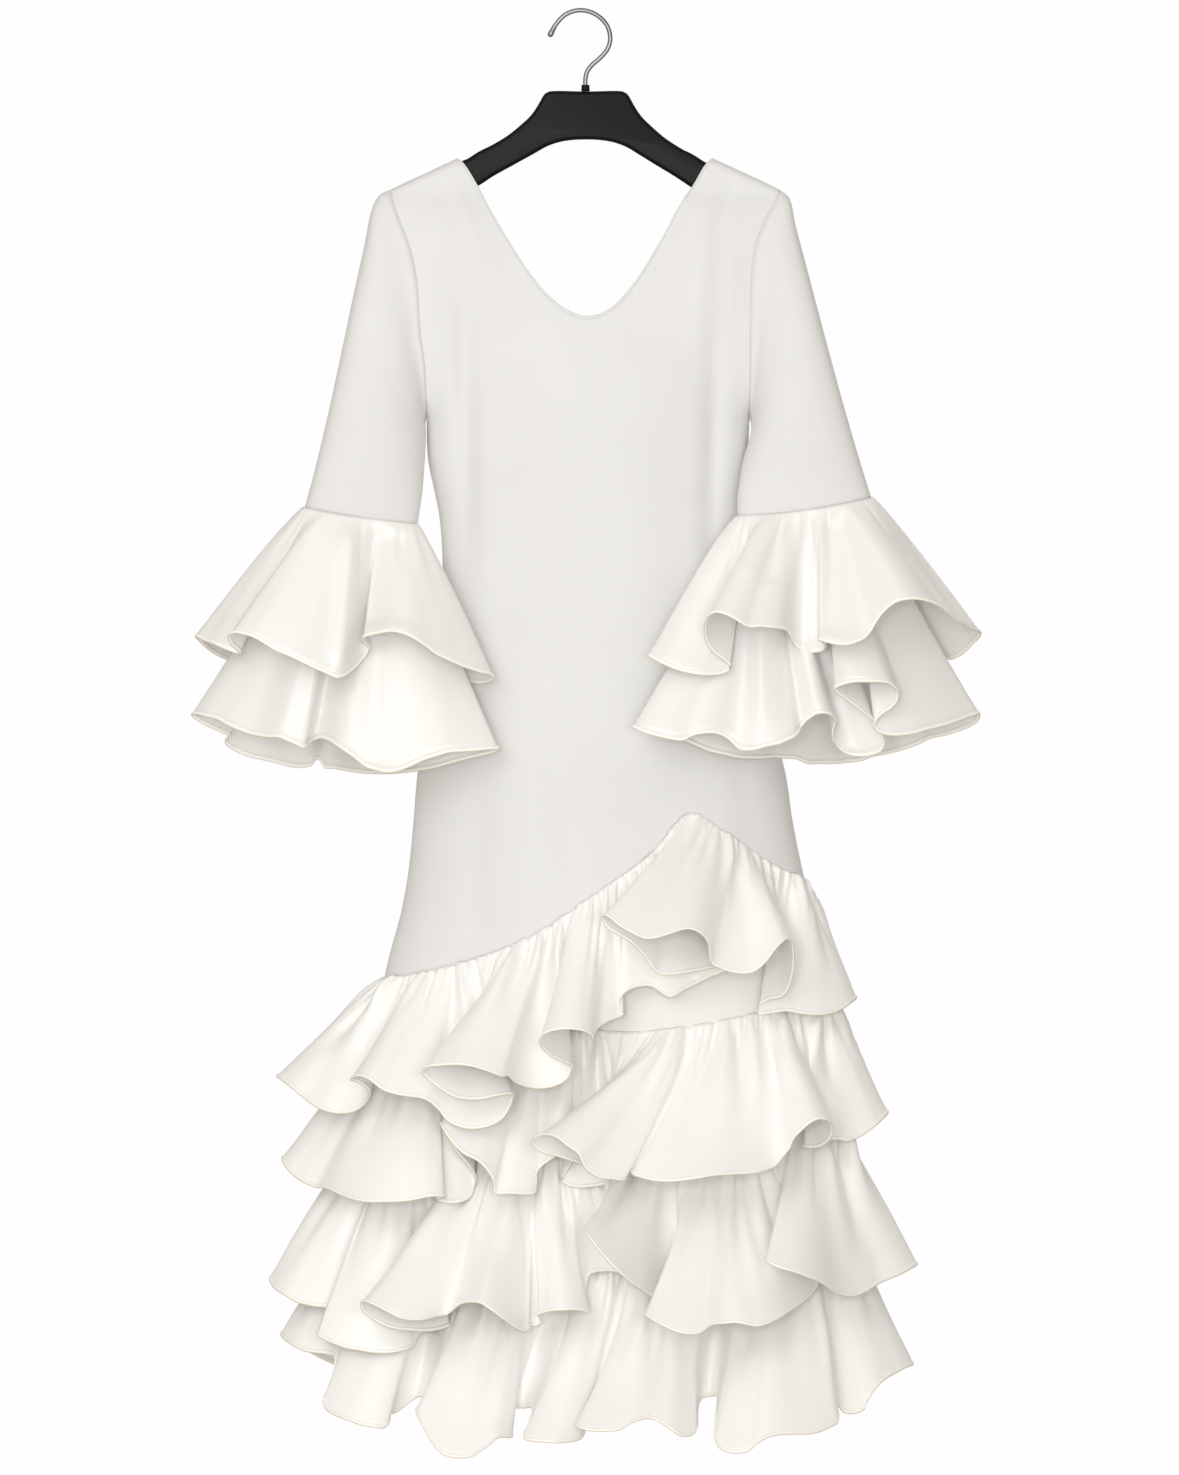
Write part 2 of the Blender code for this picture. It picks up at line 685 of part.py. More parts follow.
def flounce(side, layer):
    name = f"{side}_{layer}"
    control = [Vector(FLOUNCE_START[name])]
    for row in FLOUNCE_LEGS[name]:
        control.append(Vector(row[:3]))
        if len(row) > 3:
            control.append(Vector(row[3:]))
    hem, _ = smooth(control, FLOUNCE_STEP, True)
    grow, lower = FLOUNCE_TOP[layer]
    ring = sleeve_ring(SLEEVE[side][-1], side, 96, grow, lower, True)
    # the ring starts at the outer end and goes by the front; right hems start at the inner end
    if side == "right":
        ring = ring[48:] + ring[:48]
        ring = [ring[0]] + ring[:0:-1]
    line = ring + [ring[0]]
    # the front of the hem goes with the front of the cuff
    far = max(range(len(hem)), key=lambda n: (hem[n].x - hem[0].x) ** 2)
    front = shares_between(hem, 0, far)
    back = shares_between(hem + [hem[0]], far, len(hem))
    half = len(ring) // 2
    seam = along(line[: half + 1], front)[:-1] + along(line[half:], back)[:-1]
    flare = [FLOUNCE_FLARE[layer]] * 3
    grid = ruffle_grid(hem, seam, FLOUNCE_ROWS, flare, 0.0)
    return wall(f"{side}_cuff_flounce_{layer}", grid, RUFFLE, True)


for side in ("left", "right"):
    for layer in ("upper", "lower"):
        flounce(side, layer)

# ---------------------------------------------------------------- the hanger
# outline of the right half, from the top's middle round the arm's end: x, down
HANGER = [
    (0, 78.5),
    (37, 78.5),
    (41, 80.5),
    (48, 92),
    (55, 102),
    (66, 112),
    (79, 122),
    (93, 130),
    (108, 137.5),
    (119, 144.5),
    (128, 147.8),
    (150, 158.1),
    (170, 167.5),
    (177, 172),
    (179.5, 178),
    (177, 187),
    (169, 191.5),
    (150, 186),
    (124, 177),
    (109, 172),
    (93, 162),
    (72, 151),
    (51, 140),
    (38, 133),
    (26, 129),
    (13, 127),
    (0, 126.5),
]
HANGER_HALF, HANGER_BEVEL = 5.5, 3.6
HOOK_WIRE = 2.3
# path of the hook's wire, from its tip over the top to the hanger: x, down, radius
HOOK = [
    (-36.5, 24, 1.2),
    (-36, 22.5, 2.6),
    (-35, 20.3, 3.0),
    (-33.5, 17.5, 2.6),
    (-30.5, 12, 2.3),
    (-21.5, 2.3, 2.3),
    (-11, -2.2, 2.3),
    (0.5, -2.2, 2.3),
    (12.5, 3.2, 2.3),
    (21, 12.5, 2.3),
    (24.3, 25, 2.3),
    (21.5, 36, 2.3),
    (14, 45, 2.3),
    (6, 52, 2.3),
    (1, 59, 2.3),
    (-0.5, 66, 2.3),
    (-0.5, 78.1, 2.3),
]
COLLAR_TOP, COLLAR_FOOT, COLLAR_OUT, COLLAR_IN = 71.8, 78.2, 4.2, 2.7
ROUND = 10


def hanger_body():
    loop = [Vector((x, down)) for x, down in HANGER]
    loop += [Vector((-x, down)) for x, down in HANGER[-2:0:-1]]
    count = len(loop)
    inner = []
    for i in range(count):
        run = (loop[(i + 1) % count] - loop[i - 1]).normalized()
        inner.append(loop[i] + Vector((-run.y, run.x)) * HANGER_BEVEL)
    layers = [
        (inner, -HANGER_HALF),
        (loop, -HANGER_HALF + HANGER_BEVEL),
        (loop, HANGER_HALF - HANGER_BEVEL),
        (inner, HANGER_HALF),
    ]
    verts = [Vector((p.x + CENTRE_X, y, -p.y)) * MM for points, y in layers for p in points]
    faces = [tuple(range(count)), tuple(reversed(range(3 * count, 4 * count)))]
    for n in range(3):
        for i in range(count):
            a, b = n * count + i, n * count + (i + 1) % count
            faces.append((b, a, a + count, b + count))
    return finish("hanger_body", verts, faces, False, PLASTIC)


def collar():
    verts, faces = [], []
    for radius, down in (
        (COLLAR_IN, COLLAR_TOP),
        (COLLAR_OUT, COLLAR_TOP),
        (COLLAR_OUT, COLLAR_FOOT),
        (COLLAR_IN, COLLAR_FOOT),
    ):
        for n in range(24):
            turn = 2 * math.pi * n / 24
            x = CENTRE_X + HOOK[-1][0] + radius * math.cos(turn)
            verts.append(Vector((x, radius * math.sin(turn), -down)) * MM)
    for k in range(4):
        for n in range(24):
            a, b = k * 24 + n, k * 24 + (n + 1) % 24
            up = ((k + 1) % 4 - k) * 24
            faces.append((a, b, b + up, a + up))
    return finish("hanger_collar", verts, faces, True, PLASTIC)


def hook():
    path, _ = smooth([Vector(row) for row in HOOK], 8.0, False)
    verts, faces = [], []
    count = len(path)
    for i, point in enumerate(path):
        run = path[min(i + 1, count - 1)] - path[max(i - 1, 0)]
        side = Vector((-run.y, run.x)).normalized()
        for n in range(ROUND):
            turn = 2 * math.pi * n / ROUND
            x = point.x + side.x * point.z * math.cos(turn)
            down = point.y + side.y * point.z * math.cos(turn)
            verts.append(Vector((x + CENTRE_X, point.z * math.sin(turn), -down)) * MM)
    for i in range(count - 1):
        for n in range(ROUND):
            a, b = i * ROUND + n, i * ROUND + (n + 1) % ROUND
            faces.append((a, b, b + ROUND, a + ROUND))
    faces.append(tuple(reversed(range(ROUND))))
    faces.append(tuple(range((count - 1) * ROUND, count * ROUND)))
    return finish("hanger_hook", verts, faces, True, STEEL)


hanger_body()
collar()
hook()
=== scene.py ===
# A long ivory crepe flamenco dress with a ruffled skirt and flounced cuffs, on a black hanger.
# Tables are in millimetres: x to the right of the dress's middle line, down below the
# hook's seat, and fore towards the front.
import math
import random

import bpy
import numpy as np
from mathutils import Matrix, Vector


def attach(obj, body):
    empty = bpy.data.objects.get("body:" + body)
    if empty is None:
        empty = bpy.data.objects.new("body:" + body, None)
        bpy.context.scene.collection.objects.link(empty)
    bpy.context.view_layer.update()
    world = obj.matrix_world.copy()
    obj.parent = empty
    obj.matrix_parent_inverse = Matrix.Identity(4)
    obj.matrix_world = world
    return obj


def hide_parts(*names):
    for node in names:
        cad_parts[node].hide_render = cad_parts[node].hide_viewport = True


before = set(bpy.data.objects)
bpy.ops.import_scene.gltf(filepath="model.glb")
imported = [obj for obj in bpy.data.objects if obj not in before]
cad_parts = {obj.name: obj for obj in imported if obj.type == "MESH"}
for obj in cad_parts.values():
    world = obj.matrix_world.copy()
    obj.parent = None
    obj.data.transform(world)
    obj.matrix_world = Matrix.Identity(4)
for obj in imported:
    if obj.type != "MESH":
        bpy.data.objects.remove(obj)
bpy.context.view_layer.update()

# ---------------------------------------------------------------- room and camera
# The dress hangs half a metre clear of a pale floor, in the even light of large soft boxes.
# The camera stands far back, level with the middle of the dress.
VIEW_HIGH = 1.475  # metres that the camera sees from top to foot at the dress
VIEW_MIDDLE_X, VIEW_MIDDLE_Z = 0.0085, -0.7245
CAMERA_AWAY = 24.0
SENSOR = 36.0

camera_data = bpy.data.cameras.new("camera")
camera_data.sensor_width = SENSOR
camera_data.lens = SENSOR * CAMERA_AWAY / VIEW_HIGH
camera = bpy.data.objects.new("camera", camera_data)
camera.location = (VIEW_MIDDLE_X, -CAMERA_AWAY, VIEW_MIDDLE_Z)
camera.rotation_euler = (math.pi / 2, 0, 0)
bpy.context.scene.collection.objects.link(camera)
bpy.context.scene.camera = camera
bpy.context.scene.view_settings.view_transform = "Standard"

ROOM_LIGHT, ROOM_TINT = 0.50, (1.0, 0.955, 0.875, 1.0)
SEEN_LIGHT, SEEN_TINT = 1.0, (1.0, 0.985, 0.99, 1.0)
world = bpy.data.worlds.new("white_room")
world.use_nodes = True
room = world.node_tree
room_light = room.nodes["Background"]
room_light.inputs["Color"].default_value = ROOM_TINT
room_light.inputs["Strength"].default_value = ROOM_LIGHT
room_seen = room.nodes.new("ShaderNodeBackground")
room_seen.inputs["Color"].default_value = SEEN_TINT
room_seen.inputs["Strength"].default_value = SEEN_LIGHT
which_ray = room.nodes.new("ShaderNodeLightPath")
room_mix = room.nodes.new("ShaderNodeMixShader")
room.links.new(which_ray.outputs["Is Camera Ray"], room_mix.inputs["Fac"])
room.links.new(room_light.outputs["Background"], room_mix.inputs[1])
room.links.new(room_seen.outputs["Background"], room_mix.inputs[2])
room.links.new(room_mix.outputs["Shader"], room.nodes["World Output"].inputs["Surface"])
bpy.context.scene.world = world


def soft_box(name, place, aim_height, size, watts):
    data = bpy.data.lights.new(name, "AREA")
    data.shape = "RECTANGLE"
    data.size, data.size_y = size
    data.energy = watts
    light = bpy.data.objects.new(name, data)
    light.location = place
    toward = Vector((0.0, 0.0, aim_height)) - Vector(place)
    light.rotation_euler = toward.to_track_quat("-Z", "Y").to_euler()
    bpy.context.scene.collection.objects.link(light)


# each soft box: where it stands, what height it is aimed at, its width and height, its watts
SOFT_BOXES = {
    "near_light": ((-1.35, -12.0, -0.55), -0.8, (1.6, 1.8), 232),
    "left_light": ((-2.1, -5.6, 1.5), -0.8, (3.6, 3.0), 90),
    "right_light": ((1.5, -9.0, -0.7), -0.8, (1.6, 1.8), 92),
    "low_light": ((0.2, -4.4, -1.8), -1.0, (3.0, 0.8), 7),
    "top_light": ((-0.5, -2.4, 2.4), -0.8, (3.0, 2.0), 12),
    "back_light": ((0.8, 3.4, 1.0), -0.7, (2.6, 2.6), 18),
}
for name, row in SOFT_BOXES.items():
    soft_box(name, *row)


def mesh_piece(name, verts, faces, finish):
    mesh = bpy.data.meshes.new(name)
    mesh.from_pydata(verts, [], faces)
    mesh.materials.append(finish)
    mesh.shade_smooth()
    mesh.validate()
    piece = bpy.data.objects.new(name, mesh)
    bpy.context.scene.collection.objects.link(piece)
    return piece


def plain_paint(name, colour, roughness, metallic=0.0):
    made = bpy.data.materials.new(name)
    made.use_nodes = True
    shader = made.node_tree.nodes["Principled BSDF"]
    shader.inputs["Base Color"].default_value = (*colour, 1.0)
    shader.inputs["Roughness"].default_value = roughness
    shader.inputs["Metallic"].default_value = metallic
    return made


FLOOR_LEVEL, FLOOR_REACH, FLOOR_SIDES = -1.92, 7.0, 96
FLOOR_PAINT = plain_paint("floor_paint", (0.86, 0.86, 0.85), 0.8)
turns = [2 * math.pi * n / FLOOR_SIDES for n in range(FLOOR_SIDES)]
rim = [(FLOOR_REACH * math.cos(a), FLOOR_REACH * math.sin(a), FLOOR_LEVEL) for a in turns]
mesh_piece("floor", rim, [tuple(range(FLOOR_SIDES))], FLOOR_PAINT)

# ---------------------------------------------------------------- hanger
# A moulded black plastic hanger with a broad neck and sloping arms. Its edges are
# chamfered, and a steel hook with a ball tip turns in a small collar on the neck.
CENTRE_X = 5.0  # the dress's middle line is this far right of the hook's seat
MM = 0.001
HANGER = [
    (0, 78.5), (37, 78.5), (41, 80.5), (48, 92), (55, 102), (66, 112), (79, 122), (93, 130),
    (108, 137.5), (119, 144.5), (128, 147.8), (150, 158.1), (170, 167.5), (177, 172),
    (179.5, 178), (177, 187), (169, 191.5), (150, 186), (124, 177), (109, 172), (93, 162),
    (72, 151), (51, 140), (38, 133), (26, 129), (13, 127), (0, 126.5),
]
HANGER_HALF, HANGER_CHAMFER = 5.5, 3.6
# the edge from a face to its middle: how far in from the outline, how far from the middle plane
HALF_EDGE = [(HANGER_CHAMFER, HANGER_HALF), (3.1, 5.38), (0.35, 2.3), (0.0, 1.6)]
HANGER_EDGE = [(inset, -y) for inset, y in HALF_EDGE] + HALF_EDGE[::-1]
# the moulding isn't quite even: how far each arm hangs below its drawing, and from where
LEFT_DROP, RIGHT_DROP = 1.5, 4.5
DROP_FROM, DROP_OVER = 46.0, 50.0


def through(points, step, closed):
    """A smooth curve through the points, sampled about a step apart, and where each fell."""
    count = len(points)
    samples, marks = [], []
    for i in range(count if closed else count - 1):
        if closed:
            p = [points[(i + k) % count] for k in (-1, 0, 1, 2)]
        else:
            p = [points[min(max(i + k, 0), count - 1)] for k in (-1, 0, 1, 2)]
        gaps = [max((b - a).length ** 0.5, 1e-3) for a, b in zip(p, p[1:])]
        if (p[1] - p[0]).length < 1e-6:
            gaps[0] = gaps[1]
            p[0] = p[1] - (p[2] - p[1])
        if (p[3] - p[2]).length < 1e-6:
            gaps[2] = gaps[1]
            p[3] = p[2] + (p[2] - p[1])
        a, b, c = gaps
        start = b * ((p[1] - p[0]) / a - (p[2] - p[0]) / (a + b) + (p[2] - p[1]) / b)
        end = b * ((p[2] - p[1]) / b - (p[3] - p[1]) / (b + c) + (p[3] - p[2]) / c)
        parts = max(1, round((p[2] - p[1]).length / step))
        marks.append(len(samples))
        for j in range(parts):
            t = j / parts
            samples.append(
                (2 * t**3 - 3 * t**2 + 1) * p[1]
                + (t**3 - 2 * t**2 + t) * start
                + (3 * t**2 - 2 * t**3) * p[2]
                + (t**3 - t**2) * end
            )
    if not closed:
        marks.append(len(samples))
        samples.append(points[-1].copy())
    return samples, marks


def quads(rows, columns, rows_meet, columns_meet):
    """Faces between neighbouring rows of points; the last may meet the first again."""
    faces = []
    for j in range(rows if rows_meet else rows - 1):
        up = ((j + 1) % rows - j) * columns
        for i in range(columns if columns_meet else columns - 1):
            a, b = j * columns + i, j * columns + (i + 1) % columns
            faces.append((a, b, b + up, a + up))
    return faces


def stands_for(piece, node):
    """The piece takes the place of the solid of this name, which is hidden."""
    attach(piece, "root")
    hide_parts(node)


def effect(name, inputs, outputs):
    """An empty node group with these sockets, and its two ends."""
    group = bpy.data.node_groups.new(name, "ShaderNodeTree")
    for way, sockets in (("INPUT", inputs), ("OUTPUT", outputs)):
        for label, kind in sockets.items():
            group.interface.new_socket(label, in_out=way, socket_type=f"NodeSocket{kind}")
    return group, group.nodes.new("NodeGroupInput"), group.nodes.new("NodeGroupOutput")


def worked_grain():
    """The fine grain of a worked surface: pebbles, or drawn lines where it is stretched."""
    group, starts, ends = effect(
        "worked_grain",
        {"Stretch": "Vector", "Smoothest": "Float", "Roughest": "Float", "Height": "Float"},
        {"Roughness": "Float", "Normal": "Vector"},
    )
    add, link = group.nodes.new, group.links.new
    place = add("ShaderNodeTexCoord")
    size = add("ShaderNodeMapping")
    grain = add("ShaderNodeTexNoise")
    grain.inputs["Scale"].default_value = 1.0
    grain.inputs["Detail"].default_value = 3.0
    rough = add("ShaderNodeMapRange")
    bump = add("ShaderNodeBump")
    bump.inputs["Strength"].default_value = 0.4
    link(place.outputs["Object"], size.inputs["Vector"])
    link(starts.outputs["Stretch"], size.inputs["Scale"])
    link(size.outputs["Vector"], grain.inputs["Vector"])
    link(grain.outputs["Fac"], rough.inputs["Value"])
    link(starts.outputs["Smoothest"], rough.inputs["To Min"])
    link(starts.outputs["Roughest"], rough.inputs["To Max"])
    link(grain.outputs["Fac"], bump.inputs["Height"])
    link(starts.outputs["Height"], bump.inputs["Distance"])
    link(rough.outputs["Result"], ends.inputs["Roughness"])
    link(bump.outputs["Normal"], ends.inputs["Normal"])
    return group


WORKED_GRAIN = worked_grain()


def worked_paint(name, colour, roughness, metallic, shine, stretch, high):
    made = plain_paint(name, colour, roughness, metallic)
    tree = made.node_tree
    shader = tree.nodes["Principled BSDF"]
    shader.inputs["Specular IOR Level"].default_value = shine
    grain = tree.nodes.new("ShaderNodeGroup")
    grain.node_tree = WORKED_GRAIN
    grain.inputs["Stretch"].default_value = stretch
    grain.inputs["Smoothest"].default_value = roughness * 0.8
    grain.inputs["Roughest"].default_value = roughness * 1.2
    grain.inputs["Height"].default_value = high
    tree.links.new(grain.outputs["Roughness"], shader.inputs["Roughness"])
    tree.links.new(grain.outputs["Normal"], shader.inputs["Normal"])
    return made


MOULDED, DRAWN = (1400.0, 1400.0, 1400.0), (2600.0, 2600.0, 160.0)
HANGER_PLASTIC = worked_paint(
    "black_plastic", (0.0045, 0.0045, 0.005), 0.42, 0.0, 0.15, MOULDED, 0.00008
)
HOOK_STEEL = worked_paint("hook_steel", (0.27, 0.27, 0.28), 0.34, 1.0, 0.5, DRAWN, 0.00002)


def hanger_body():
    right, _ = through([Vector(point) for point in HANGER], 4.0, False)
    loop = right + [Vector((-p.x, p.y)) for p in right[-2:0:-1]]
    for p in loop:
        share = min(max((abs(p.x) - DROP_FROM) / DROP_OVER, 0), 1)
        p.y += (RIGHT_DROP if p.x > 0 else LEFT_DROP) * share
    count = len(loop)
    inward = []
    for i in range(count):
        run = (loop[(i + 1) % count] - loop[i - 1]).normalized()
        inward.append(Vector((-run.y, run.x)))
    verts = []
    for inset, y in HANGER_EDGE:
        for point, side in zip(loop, inward):
            p = point + side * inset
            verts.append(((p.x + CENTRE_X) * MM, y * MM, -p.y * MM))
    faces = [tuple(range(count)), tuple(reversed(range(len(verts) - count, len(verts))))]
    faces += [(b, a, d, c) for a, b, c, d in quads(len(HANGER_EDGE), count, False, True)]
    piece = mesh_piece("hanger_moulding", verts, faces, HANGER_PLASTIC)
    stands_for(piece, "hanger_body")


hanger_body()

WIRE = 2.3
# path of the hook's wire, from its tip over the top to the hanger: x, down, radius
HOOK = [
    (-36.5, 24, 1.2), (-36, 22.5, 2.6), (-35, 20.3, 3.0), (-33.5, 17.5, 2.6), (-30.5, 12, WIRE),
    (-21.5, 2.3, WIRE), (-11, -2.2, WIRE), (0.5, -2.2, WIRE), (12.5, 3.2, WIRE), (21, 12.5, WIRE),
    (24.3, 25, WIRE), (21.5, 36, WIRE), (14, 45, WIRE), (6, 52, WIRE), (1, 59, WIRE),
    (-0.5, 66, WIRE), (-0.5, 78.1, WIRE),
]
HOOK_SIDES = 20


def hook():
    path, _ = through([Vector(row) for row in HOOK], 1.6, False)
    verts = []
    count = len(path)
    for i, point in enumerate(path):
        run = path[min(i + 1, count - 1)] - path[max(i - 1, 0)]
        side = Vector((-run.y, run.x)).normalized()
        for n in range(HOOK_SIDES):
            turn = 2 * math.pi * n / HOOK_SIDES
            x = point.x + side.x * point.z * math.cos(turn)
            down = point.y + side.y * point.z * math.cos(turn)
            verts.append(((x + CENTRE_X) * MM, point.z * math.sin(turn) * MM, -down * MM))
    faces = quads(count, HOOK_SIDES, False, True)
    faces.append(tuple(reversed(range(HOOK_SIDES))))
    faces.append(tuple(range(len(verts) - HOOK_SIDES, len(verts))))
    stands_for(mesh_piece("hook_wire", verts, faces, HOOK_STEEL), "hanger_hook")


hook()

# turned profile of the collar: radius, down
COLLAR = [
    (2.5, 78.3), (4.2, 78.3), (4.2, 74.2), (3.9, 73.9), (3.9, 73.4), (4.2, 73.1), (4.15, 72.3),
    (3.8, 71.9), (2.5, 71.8),
]
COLLAR_SIDES = 40


def collar():
    verts = []
    for radius, down in COLLAR:
        for n in range(COLLAR_SIDES):
            turn = 2 * math.pi * n / COLLAR_SIDES
            x = CENTRE_X + HOOK[-1][0] + radius * math.cos(turn)
            verts.append((x * MM, radius * math.sin(turn) * MM, -down * MM))
    faces = quads(len(COLLAR), COLLAR_SIDES, True, True)
    piece = mesh_piece("hook_collar", verts, faces, HANGER_PLASTIC)
    stands_for(piece, "hanger_collar")


collar()

# ---------------------------------------------------------------- the dress's body
# Front and back are one long panel each of smooth stretch crepe, sewn at the shoulders and
# sides, with a deep V at the neck. They end in a slanting line where the skirt begins.
CLOTH = 0.9
# down, left edge, right edge, half depth
BODY = [
    (140, -195, 193, 14), (177, -195, 193, 19), (202, -188, 181, 26), (224, -179, 171, 31),
    (248, -172, 166, 35), (273, -168, 164, 39), (321, -165, 163.5, 45), (350, -161, 163.5, 49),
    (402, -159, 163, 54), (447, -157.5, 161, 55), (474, -152, 158, 55), (505, -146, 156, 55),
    (552, -143, 155, 55), (607, -145, 159, 57), (687, -156, 179, 62), (760, -168, 199, 66),
    (807, -172, 206, 68), (857, -177, 216, 70), (897, -184, 226, 72), (965, -201, 243, 74),
    (1060, -208, 250, 78), (1160, -214, 256, 82), (1270, -221, 262, 86),
]
# the neck edge from the left shoulder's corner to the right one's: x, down
NECK = [
    (-128, 145.5), (-122, 151), (-109, 172), (-96, 197), (-76, 231), (-57, 260), (-40, 281),
    (-20, 297), (1, 304), (22, 298), (45, 275), (62, 250), (79, 221), (94, 192), (107, 173),
    (120, 151), (126, 145.5),
]
SHOULDER_TIP, UNDERARM, ARMHOLE_HALF = 177.0, 402.0, 30.0
SHOULDER_IN, SHOULDER_TOP, SHOULDER_SLOPE = 127.0, 145.5, 0.465
HANGER_ROOM = 9.5  # half the room over the hanger's arm
ROOM_FROM, ROOM_OVER = 250.0, 120.0  # this room dies out from here, over this much further down
SHOULDER_FADE = 60.0  # the body rounds out over this much below the shoulder
BACK_NECK_DROP = 5.0
STAND_OFF = 2.6  # a sewing line's height over the panel
SEAM_STEP = 2.5
# sewing lines of the four tiers at the front: x, down
TIER_SEAM = {
    1: [(-201, 967), (-153, 958), (-97, 942), (-46, 919), (10, 881), (63, 843), (104, 801),
        (137, 819), (181, 849), (218, 867)],
    2: [(-205, 1036), (-120, 1028), (6, 1017), (45, 1019), (89, 1015), (133, 1008), (170, 1000),
        (246, 984)],
    3: [(-212, 1124), (-100, 1140), (30, 1140), (150, 1125), (252, 1105)],
    4: [(-218, 1220), (-100, 1240), (30, 1250), (150, 1238), (258, 1212)],
}
# the same at the back, where the first line runs straight across
BACK_SEAM = {
    1: [(-201, 967), (-100, 948), (20, 917), (130, 888), (218, 867)],
    2: [(-205, 1036), (-100, 1034), (20, 1022), (130, 1003), (246, 984)],
    3: [(-212, 1124), (-100, 1138), (20, 1142), (150, 1125), (252, 1105)],
    4: [(-218, 1220), (-100, 1240), (20, 1250), (150, 1238), (258, 1212)],
}
# painted shade: the body's and sleeves' crepe is the ruffles' cloth painted darker, for the less light its
# upright faces take; light and deep are its tone, varying at random
SHADED_CREPE_LIGHT, SHADED_CREPE_DEEP = (0.765, 0.762, 0.752), (0.742, 0.738, 0.726)
CREPE_ROUGHNESS = 0.62
GRAIN_FINE, GRAIN_SLUB, GRAIN_CLOUD = 1500.0, 420.0, 7.0  # features to a metre
GRAIN_HIGH = 0.00009


def crepe_grain():
    """The pebbled face of the crepe: a bumped normal, and where its tone runs deeper."""
    sockets = {"Normal": "Vector", "Tone": "Float"}
    group, starts, ends = effect("crepe_grain", {"Height": "Float"}, sockets)
    add, link = group.nodes.new, group.links.new
    place = add("ShaderNodeTexCoord")
    noises = {}
    kinds = {"fine": (GRAIN_FINE, 2.0), "slub": (GRAIN_SLUB, 3.0), "cloud": (GRAIN_CLOUD, 3.0)}
    for name, (scale, detail) in kinds.items():
        noises[name] = add("ShaderNodeTexNoise")
        noises[name].inputs["Scale"].default_value = scale
        noises[name].inputs["Detail"].default_value = detail
        link(place.outputs["Object"], noises[name].inputs["Vector"])
    pebbles = add("ShaderNodeMath")
    pebbles.operation = "ADD"
    link(noises["fine"].outputs["Fac"], pebbles.inputs[0])
    link(noises["slub"].outputs["Fac"], pebbles.inputs[1])
    bump = add("ShaderNodeBump")
    bump.inputs["Strength"].default_value = 0.35
    link(starts.outputs["Height"], bump.inputs["Distance"])
    link(pebbles.outputs[0], bump.inputs["Height"])
    link(bump.outputs["Normal"], ends.inputs["Normal"])
    tone = add("ShaderNodeMapRange")
    tone.inputs["From Min"].default_value = 0.35
    tone.inputs["From Max"].default_value = 0.65
    link(noises["cloud"].outputs["Fac"], tone.inputs["Value"])
    link(tone.outputs["Result"], ends.inputs["Tone"])
    return group


CREPE_GRAIN = crepe_grain()


def crepe(name, light, deep, roughness, shine, sheen):
    made = plain_paint(name, light, roughness)
    tree = made.node_tree
    shader = tree.nodes["Principled BSDF"]
    grain = tree.nodes.new("ShaderNodeGroup")
    grain.node_tree = CREPE_GRAIN
    grain.inputs["Height"].default_value = GRAIN_HIGH
    blend = tree.nodes.new("ShaderNodeMix")
    blend.data_type = "RGBA"
    blend.inputs[6].default_value = (*light, 1.0)
    blend.inputs[7].default_value = (*deep, 1.0)
    tree.links.new(grain.outputs["Tone"], blend.inputs[0])
    tree.links.new(blend.outputs[2], shader.inputs["Base Color"])
    tree.links.new(grain.outputs["Normal"], shader.inputs["Normal"])
    shader.inputs["Specular IOR Level"].default_value = shine
    shader.inputs["Sheen Weight"].default_value = sheen
    shader.inputs["Sheen Roughness"].default_value = 0.32
    shader.inputs["Sheen Tint"].default_value = (1.0, 0.98, 0.95, 1.0)
    return made


# painted shade: the body's crepe is painted darker than the ruffles' crepe of the same cloth
SHADED_CREPE = crepe("ivory_crepe", SHADED_CREPE_LIGHT, SHADED_CREPE_DEEP, CREPE_ROUGHNESS, 0.3, 0.25)


def at(rows, place, column):
    """The column's value where the first column is place, straight between rows."""
    if place <= rows[0][0]:
        return rows[0][column]
    for low, high in zip(rows, rows[1:]):
        if place <= high[0]:
            share = (place - low[0]) / (high[0] - low[0])
            return low[column] + share * (high[column] - low[column])
    return rows[-1][column]


BODY_STEP = 6.0
BODY_WIDE = [tuple(p) for p in through([Vector(row[:3]) for row in BODY], BODY_STEP, False)[0]]
HALF_DEPTHS = [Vector((down, half, 0)) for down, _, _, half in BODY]
BODY_DEEP = [tuple(p) for p in through(HALF_DEPTHS, BODY_STEP, False)[0]]


def body_edges(down):
    return at(BODY_WIDE, down, 1), at(BODY_WIDE, down, 2), at(BODY_DEEP, down, 1)


def cloth_piece(name, grid, closed, finish, thickness=CLOTH):
    """A thin wall of cloth through rows of (x, down, fore) points."""
    points = np.array(grid, float)
    rows, columns = points.shape[:2]
    place = np.stack([points[..., 0] + CENTRE_X, -points[..., 2], -points[..., 1]], -1) * MM
    faces = [(a, d, c, b) for a, b, c, d in quads(rows, columns, False, closed)]
    piece = mesh_piece(name, place.reshape(-1, 3).tolist(), faces, finish)
    wall = piece.modifiers.new("wall", "SOLIDIFY")
    wall.thickness = thickness * MM
    wall.offset = 0.0
    return piece


def armhole_fore(down):
    t = (down - SHOULDER_TIP) / (UNDERARM - SHOULDER_TIP)
    return ARMHOLE_HALF * math.sqrt(max(0.0, 1 - (2 * t - 1) ** 2)) if 0 < t < 1 else 0.0


